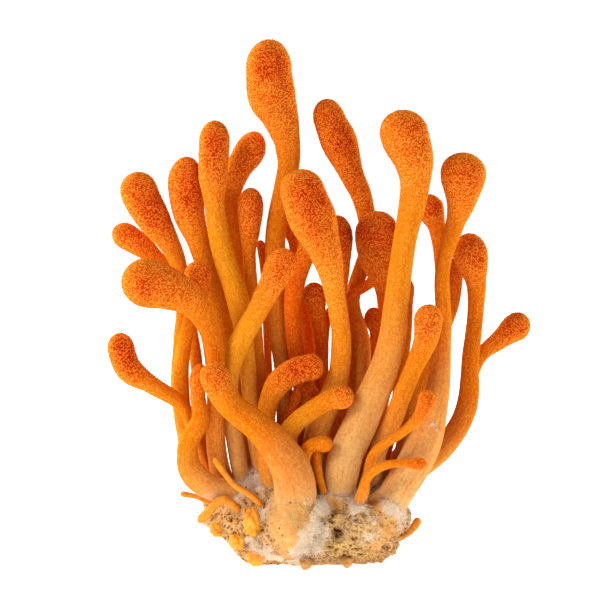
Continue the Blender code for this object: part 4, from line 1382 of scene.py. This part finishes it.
        # Share of painted shade in the pits and cavities; the crumbs also keep out of it.
        pore_shade = np.clip(pits * 0.9 + small_pits * 0.7 + cavity * 0.7 * (1 - ridge), 0, 1)
        look = np.stack((cotton, pore_shade, self._spots(base, self.ORANGE)), axis=1)
        tint = np.stack((flesh, self._spots(base, self.YELLOW), self._spots(base, self.RUST)), axis=1)
        faces = sphere_faces(self.rows, self.columns)
        piece = make_mesh("clump_surface", points * MM, faces, self.material, {"look": look, "tint": tint})
        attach(piece, BODY)
        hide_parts("root_clump")
        LOG.info("%s: %d vertices, %d faces", piece.name, len(points), len(faces))
        return piece, points, normal, look


@dataclass
class Fibres:
    """Loose threads of mycelium as fine tapered tubes with three sides."""

    name: str
    material: object
    seed: int
    length: tuple = (0.4, 1.2)
    thickness: float = 0.018
    droop: float = 0.7

    RINGS = 3

    def build(self, roots: np.ndarray, normals: np.ndarray):
        """Builds one thread at each root.

        Args:
            roots: where the threads start, in millimetres.
            normals: which way is out of the surface there.

        Returns:
            The object.
        """
        dice = np.random.default_rng(self.seed)
        count = len(roots)
        lean = unit(normals * 0.7 + dice.normal(size=(count, 3)) * 0.75)
        bend = unit(dice.normal(size=(count, 3)))
        low = roots[:, 2] < 2.2
        lean[low, 2] = np.abs(lean[low, 2])
        bend[low, 2] = np.abs(bend[low, 2])
        length = dice.uniform(*self.length, size=count)[:, None]
        side = unit(np.cross(lean, bend) + 1e-6)
        cross = unit(np.cross(lean, side))
        rings = []
        for ring in range(self.RINGS):
            share = ring / self.RINGS
            path = roots + lean * length * share + bend * length * self.droop * share**2
            width = self.thickness * (1 - 0.7 * share)
            for corner in range(3):
                angle = 2 * math.pi * corner / 3
                rings.append(path + (side * math.cos(angle) + cross * math.sin(angle)) * width)
        rings.append(roots + lean * length + bend * length * self.droop)
        points = np.stack(rings, axis=1)
        per = points.shape[1]
        pattern = [(0, 2, 1, -1)]
        for ring in range(self.RINGS - 1):
            for corner in range(3):
                here, across = 3 * ring + corner, 3 * ring + (corner + 1) % 3
                pattern.append((here, across, across + 3, here + 3))
        for corner in range(3):
            base = 3 * (self.RINGS - 1)
            pattern.append((base + corner, base + (corner + 1) % 3, per - 1, -1))
        pattern = np.array(pattern)
        shift = (np.arange(count) * per)[:, None, None]
        faces = np.where(pattern[None] < 0, -1, pattern[None] + shift).reshape(-1, 4)
        piece = make_mesh(self.name, points.reshape(-1, 3) * MM, faces, self.material)
        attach(piece, BODY)
        LOG.info("%s: %d threads", piece.name, count)
        return piece


@dataclass
class Crumbs:
    """Small irregular grains that stick to the clump."""

    name: str
    material: object
    seed: int
    size: tuple = (0.06, 0.17)

    def build(self, places: np.ndarray, normals: np.ndarray):
        """Builds one squashed, knobbly grain at each place.

        Args:
            places: the grains' middles, in millimetres.
            normals: which way is out of the surface there.

        Returns:
            The object.
        """
        dice = np.random.default_rng(self.seed)
        golden = (1 + math.sqrt(5)) / 2
        corners = [(0, a, b * golden) for a in (-1, 1) for b in (-1, 1)]
        corners = np.array(corners + [(y, z, x) for x, y, z in corners] + [(z, x, y) for x, y, z in corners])
        corners = unit(corners.astype(float))
        apart = np.linalg.norm(corners[:, None] - corners[None], axis=2)
        close = (apart > 0.1) & (apart < 1.2)
        triples = [
            (a, b, c)
            for a in range(12)
            for b in range(a + 1, 12)
            for c in range(b + 1, 12)
            if close[a, b] and close[b, c] and close[a, c]
        ]
        faces = np.array(triples)
        one, two, three = corners[faces[:, 0]], corners[faces[:, 1]], corners[faces[:, 2]]
        inward = (np.cross(two - one, three - one) * one).sum(axis=1) <= 0
        faces[inward] = faces[inward][:, [0, 2, 1]]
        count = len(places)
        turn = unit(dice.normal(size=(count, 3)))
        other = unit(np.cross(turn, dice.normal(size=(count, 3))))
        axes = np.stack((turn, other, np.cross(turn, other)), axis=1)
        stretch = dice.uniform(0.6, 1.3, size=(count, 1, 3)) * dice.uniform(*self.size, size=(count, 1, 1))
        knobs = dice.uniform(0.75, 1.2, size=(count, 12, 1))
        points = (corners[None] * knobs * stretch) @ axes + (places + normals * 0.03)[:, None]
        points[..., 2] = np.maximum(points[..., 2], 0.0)
        rows = (faces[None] + (np.arange(count) * 12)[:, None, None]).reshape(-1, 3)
        piece = make_mesh(self.name, points.reshape(-1, 3) * MM, rows, self.material)
        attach(piece, BODY)
        LOG.info("%s: %d grains", piece.name, count)
        return piece


@dataclass
class Nodule:
    """A round lumpy primordium that sits on the clump."""

    name: str
    material: object
    seed: int
    stretch: tuple = (1.0, 1.0, 1.0)
    rows: int = 44
    columns: int = 72

    def build(self):
        """Builds the nodule as a sphere with broad knobs and fine pimples.

        Returns:
            The object.
        """
        x, y, z, radius = NODULES[self.name]
        direction = sphere_directions(self.rows, self.columns)
        knobs, _ = cell_noise(direction * radius + self.seed, 0.75, 91)
        fine, _ = cell_noise(direction * radius + self.seed, 0.28, 93)
        rise = 0.30 * np.clip(1 - knobs**2 * 1.6, 0, 1) + 0.05 * np.clip(1 - fine**2 * 2, 0, 1)
        reach = radius * (0.82 + rise * min(1.0, radius))
        points = np.array((x, y, z)) + direction * self.stretch * reach[:, None]
        points[:, 2] = np.maximum(points[:, 2], 0.02)
        faces = sphere_faces(self.rows, self.columns)
        piece = make_mesh(self.name + "_skin", points * MM, faces, self.material)
        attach(piece, BODY)
        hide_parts(self.name)
        return piece


@dataclass
class Bunch:
    """The whole bunch: it shares out materials and builds every piece."""

    flesh: dict = field(default_factory=dict)

    THREADS = 12000
    STRAW_CRUMBS = 2600
    BROWN_CRUMBS = 1200
    FLAKE_GRAINS = 22
    FLAKE_HEIGHT = 18.3

    def dress(self) -> None:
        """Makes the finishes."""
        self.flesh = {
            Tone.GOLDEN: FleshFinish(
                "golden_flesh", (0.70, 0.155, 0.0018), (0.60, 0.092, 0.0008), foot=(0.72, 0.34, 0.080)
            ).build(),
            Tone.PALE: FleshFinish(
                "pale_flesh_skin", (0.72, 0.180, 0.0025), (0.60, 0.110, 0.0015), foot=(0.66, 0.415, 0.165)
            ).build(),
            # The deep flesh is a darker, redder copy for the bodies deep in the bunch: painted shade.
            Tone.DEEP_SHADED: FleshFinish(
                "deep_shaded_flesh", (0.74, 0.115, 0.0015), (0.66, 0.075, 0.0008), foot=(0.70, 0.26, 0.040)
            ).build(),
        }
        self.yellow = PlainFinish(
            "yellow_skin", (0.84, 0.39, 0.026), (0.72, 0.25, 0.009), 0.42, scatter=0.4, scatter_depth=0.0008,
            shine=0.25,
        ).build()
        self.strand = PlainFinish(
            "strand_skin", (0.78, 0.31, 0.032), (0.62, 0.19, 0.012), 0.5, scatter=0.3, scatter_depth=0.0006,
            wave=1400.0,
        ).build()
        self.tan = PlainFinish(
            "tan_skin", (0.66, 0.36, 0.12), (0.45, 0.20, 0.045), 0.6, scatter=0.3, scatter_depth=0.0006
        ).build()
        self.clump = ClumpFinish().build()
        self.cotton = PlainFinish("cotton", (0.98, 0.89, 0.76), (0.86, 0.70, 0.52), 0.8, scatter=0.2).build()
        self.straw = PlainFinish("straw_crumb", (0.66, 0.42, 0.17), (0.50, 0.27, 0.08), 0.8).build()
        self.flake = PlainFinish("flake", (0.80, 0.50, 0.32), (0.68, 0.32, 0.14), 0.8).build()
        self.brown = PlainFinish("brown_crumb", (0.34, 0.15, 0.04), (0.20, 0.075, 0.018), 0.8).build()

    def build(self) -> None:
        """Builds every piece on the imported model's nodes."""
        self.dress()
        clubs = {name: Route(rooted(stations)) for name, stations in CLUBS.items()}
        spurs = {name: Route(stations) for name, stations in SPURS.items()}
        Easing().apply([*clubs.values(), *spurs.values()])
        for seed, (name, route) in enumerate(clubs.items()):
            tone = tone_of(name)
            fertile = name not in SMOOTH_CLUBS
            skin = self.flesh[tone if fertile else Tone.PALE]
            piece = Club(name, route, tone, skin, fertile, seed).build()
        for seed, (name, route) in enumerate(spurs.items()):
            piece = Club(name, route, Tone.GOLDEN, self.strand, False, 90 + seed).build()
        for seed, name in enumerate(NODULES):
            skin = self.tan if name.startswith("knob") else self.yellow
            stretch = (0.85, 1.0, 1.3) if name == "nodule_strand_end" else (1.0, 1.0, 1.0)
            piece = Nodule(name, skin, seed, stretch).build()
        self._grow_clump(clubs)

    def _grow_clump(self, clubs: dict) -> None:
        """Builds the clump with its threads and crumbs, and the fuzz on the feet."""
        piece, points, normal, look = Clump(list(clubs.values()), self.clump).build()
        dice = np.random.default_rng(11)
        shown = points[:, 2] > 0.15
        cotton = look[:, 0] * shown
        chosen = dice.choice(len(points), self.THREADS, p=cotton / cotton.sum())
        threads = Fibres("cotton_threads", self.cotton, 21).build(points[chosen], normal[chosen])
        roots, outward = foot_fuzz(clubs, dice)
        fuzz = Fibres("foot_fuzz", self.cotton, 23, length=(0.25, 0.8), thickness=0.014).build(roots, outward)
        self._stick_flake(clubs["right_outer"], dice)
        bare = (1 - look[:, 0]) * shown * (1 - look[:, 1])
        straw = ("straw_crumbs", self.straw, self.STRAW_CRUMBS, 31)
        brown = ("brown_crumbs", self.brown, self.BROWN_CRUMBS, 33)
        for name, material, count, seed in (straw, brown):
            chosen = dice.choice(len(points), count, p=bare / bare.sum())
            crumbs = Crumbs(name, material, seed).build(points[chosen], normal[chosen])

    def _stick_flake(self, route: Route, dice: np.random.Generator) -> None:
        """Puts a flake of crumbs on the right stalk, where one stuck to it."""
        place = int(np.abs(route.points[:, 2] - self.FLAKE_HEIGHT).argmin())
        outward = unit(np.array((0.15, -1.0, 0.15)))
        radius = route.radius(route.distance[place : place + 1])[0]
        middle = route.points[place] + outward * (radius + 0.05)
        spots = middle + dice.normal(size=(self.FLAKE_GRAINS, 3)) * np.array((0.42, 0.10, 0.36))
        grains = Crumbs("stuck_flake", self.flake, 37, size=(0.12, 0.26))
        flake = grains.build(spots, np.tile(outward, (self.FLAKE_GRAINS, 1)))


def foot_fuzz(clubs: dict, dice: np.random.Generator, density: float = 5.0) -> tuple[np.ndarray, np.ndarray]:
    """Scatters places on the lowest part of the fruiting bodies, thicker towards the clump.

    Args:
        clubs: the routes by name.
        dice: where the random numbers come from.
        density: places to a square millimetre at the very foot.

    Returns:
        The places in millimetres and the directions out of the skin there.
    """
    roots, outward = [], []
    for route in clubs.values():
        spine = Spine(route.points, route.distance)
        length = route.distance[-1]
        far = dice.uniform(0.5 * length, length, 4000)
        angle = dice.uniform(0.0, 2 * math.pi, len(far))
        centre, _, side, cross = spine.at(far)
        radius = route.radius(far)
        radial = np.cos(angle)[:, None] * side + np.sin(angle)[:, None] * cross
        places = centre + radial * (radius * 0.98)[:, None]
        height = places[:, 2] - 7.0 + 3.0 * (layered_noise(places, 1.8, 95, 2) - 0.5)
        wanted = density * smooth_step(4.5, 0.0, height) * (places[:, 2] > 5.5)
        area = 2 * math.pi * radius * 0.5 * length / len(far)
        kept = dice.uniform(size=len(far)) < wanted * area
        roots.append(places[kept])
        outward.append(radial[kept])
    return np.concatenate(roots), np.concatenate(outward)


def rooted(stations: tuple) -> tuple:
    """Adds a last station inside the clump, as the solids have one.

    Args:
        stations: a fruiting body's own stations.

    Returns:
        The stations with one more.
    """
    x, y, _, radius = stations[-1]
    return (*stations, (x * 0.6, y * 0.6, 5.0, radius * 0.5))


# ---------------------------------------------------------------- the studio


@dataclass(frozen=True)
class Studio:
    """A pale floor, a white surround, soft lamps and the camera."""

    aim: tuple = (-0.66, 0.0, 34.2)
    elevation: float = 6.0
    distance: float = 328.0
    lens: float = 150.0

    # Name, place and width in millimetres, power in watts, and colour.
    LAMPS = (
        ("key", (-300, -230, 260), 160, 1.50, (1.0, 0.97, 0.92)),
        ("fill", (330, -260, 120), 260, 0.30, (1.0, 0.98, 0.96)),
        ("rim_left", (-300, 180, 150), 160, 1.3, (1.0, 0.99, 0.97)),
        ("rim_right", (300, 180, 170), 160, 1.2, (1.0, 0.99, 0.97)),
    )
    EXPOSURE = -0.25
    FLOOR_REACH = 3.0
    FLOOR_GLOW = 1.05
    WORLD_LIGHT = 0.33
    WORLD_SEEN = 1.3

    def build(self) -> None:
        """Sets the stage."""
        self._floor()
        self._surround()
        for lamp in self.LAMPS:
            self._lamp(*lamp)
        self._camera()
        bpy.context.scene.view_settings.view_transform = "Standard"
        bpy.context.scene.view_settings.exposure = self.EXPOSURE

    def _floor(self) -> None:
        """A wide white sheet under the clump."""
        corners = np.array(((-1, -1, 0), (1, -1, 0), (1, 1, 0), (-1, 1, 0)), dtype=float) * self.FLOOR_REACH
        finish = PlainFinish("paper", (0.9, 0.9, 0.9), (0.9, 0.9, 0.9), 0.9).build()
        shader = finish.node_tree.nodes["Principled BSDF"]
        shader.inputs["Emission Color"].default_value = (1.0, 1.0, 1.0, 1.0)
        shader.inputs["Emission Strength"].default_value = self.FLOOR_GLOW
        floor = make_mesh("floor", corners, np.array([[0, 1, 2, 3]]), finish)

    def _surround(self) -> None:
        """Even white light from all sides."""
        world = bpy.data.worlds.new("surround")
        world.use_nodes = True
        nodes, links = world.node_tree.nodes, world.node_tree.links
        backdrop = nodes["Background"]
        backdrop.inputs["Color"].default_value = (1.0, 1.0, 1.0, 1.0)
        path = nodes.new("ShaderNodeLightPath")
        strength = nodes.new("ShaderNodeMapRange")
        strength.inputs["To Min"].default_value = self.WORLD_LIGHT
        strength.inputs["To Max"].default_value = self.WORLD_SEEN
        links.new(path.outputs["Is Camera Ray"], strength.inputs["Value"])
        links.new(strength.outputs[0], backdrop.inputs["Strength"])
        bpy.context.scene.world = world

    def _lamp(self, name: str, place: tuple, size: float, power: float, colour: tuple) -> None:
        """Adds a square lamp that faces the middle of the bunch."""
        lamp = bpy.data.lights.new(name, "AREA")
        lamp.shape = "SQUARE"
        lamp.size = size * MM
        lamp.energy = power
        lamp.color = colour
        holder = bpy.data.objects.new(name, lamp)
        bpy.context.scene.collection.objects.link(holder)
        holder.location = Vector(place) * MM
        holder.rotation_euler = (Vector(self.aim) * MM - holder.location).to_track_quat("-Z", "Y").to_euler()

    def _camera(self) -> None:
        """Looks at the bunch from the front and a little above."""
        rise = math.radians(self.elevation)
        camera = bpy.data.cameras.new("camera")
        camera.lens = self.lens
        camera.clip_start = 0.01
        holder = bpy.data.objects.new("camera", camera)
        bpy.context.scene.collection.objects.link(holder)
        away = Vector((0.0, -math.cos(rise), math.sin(rise))) * self.distance
        holder.location = (Vector(self.aim) + away) * MM
        holder.rotation_euler = (math.pi / 2 - rise, 0.0, 0.0)
        bpy.context.scene.camera = holder


def main() -> None:
    """Builds the bunch and the studio around it."""
    Bunch().build()
    Studio().build()


if __name__ == "__main__":
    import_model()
    main()
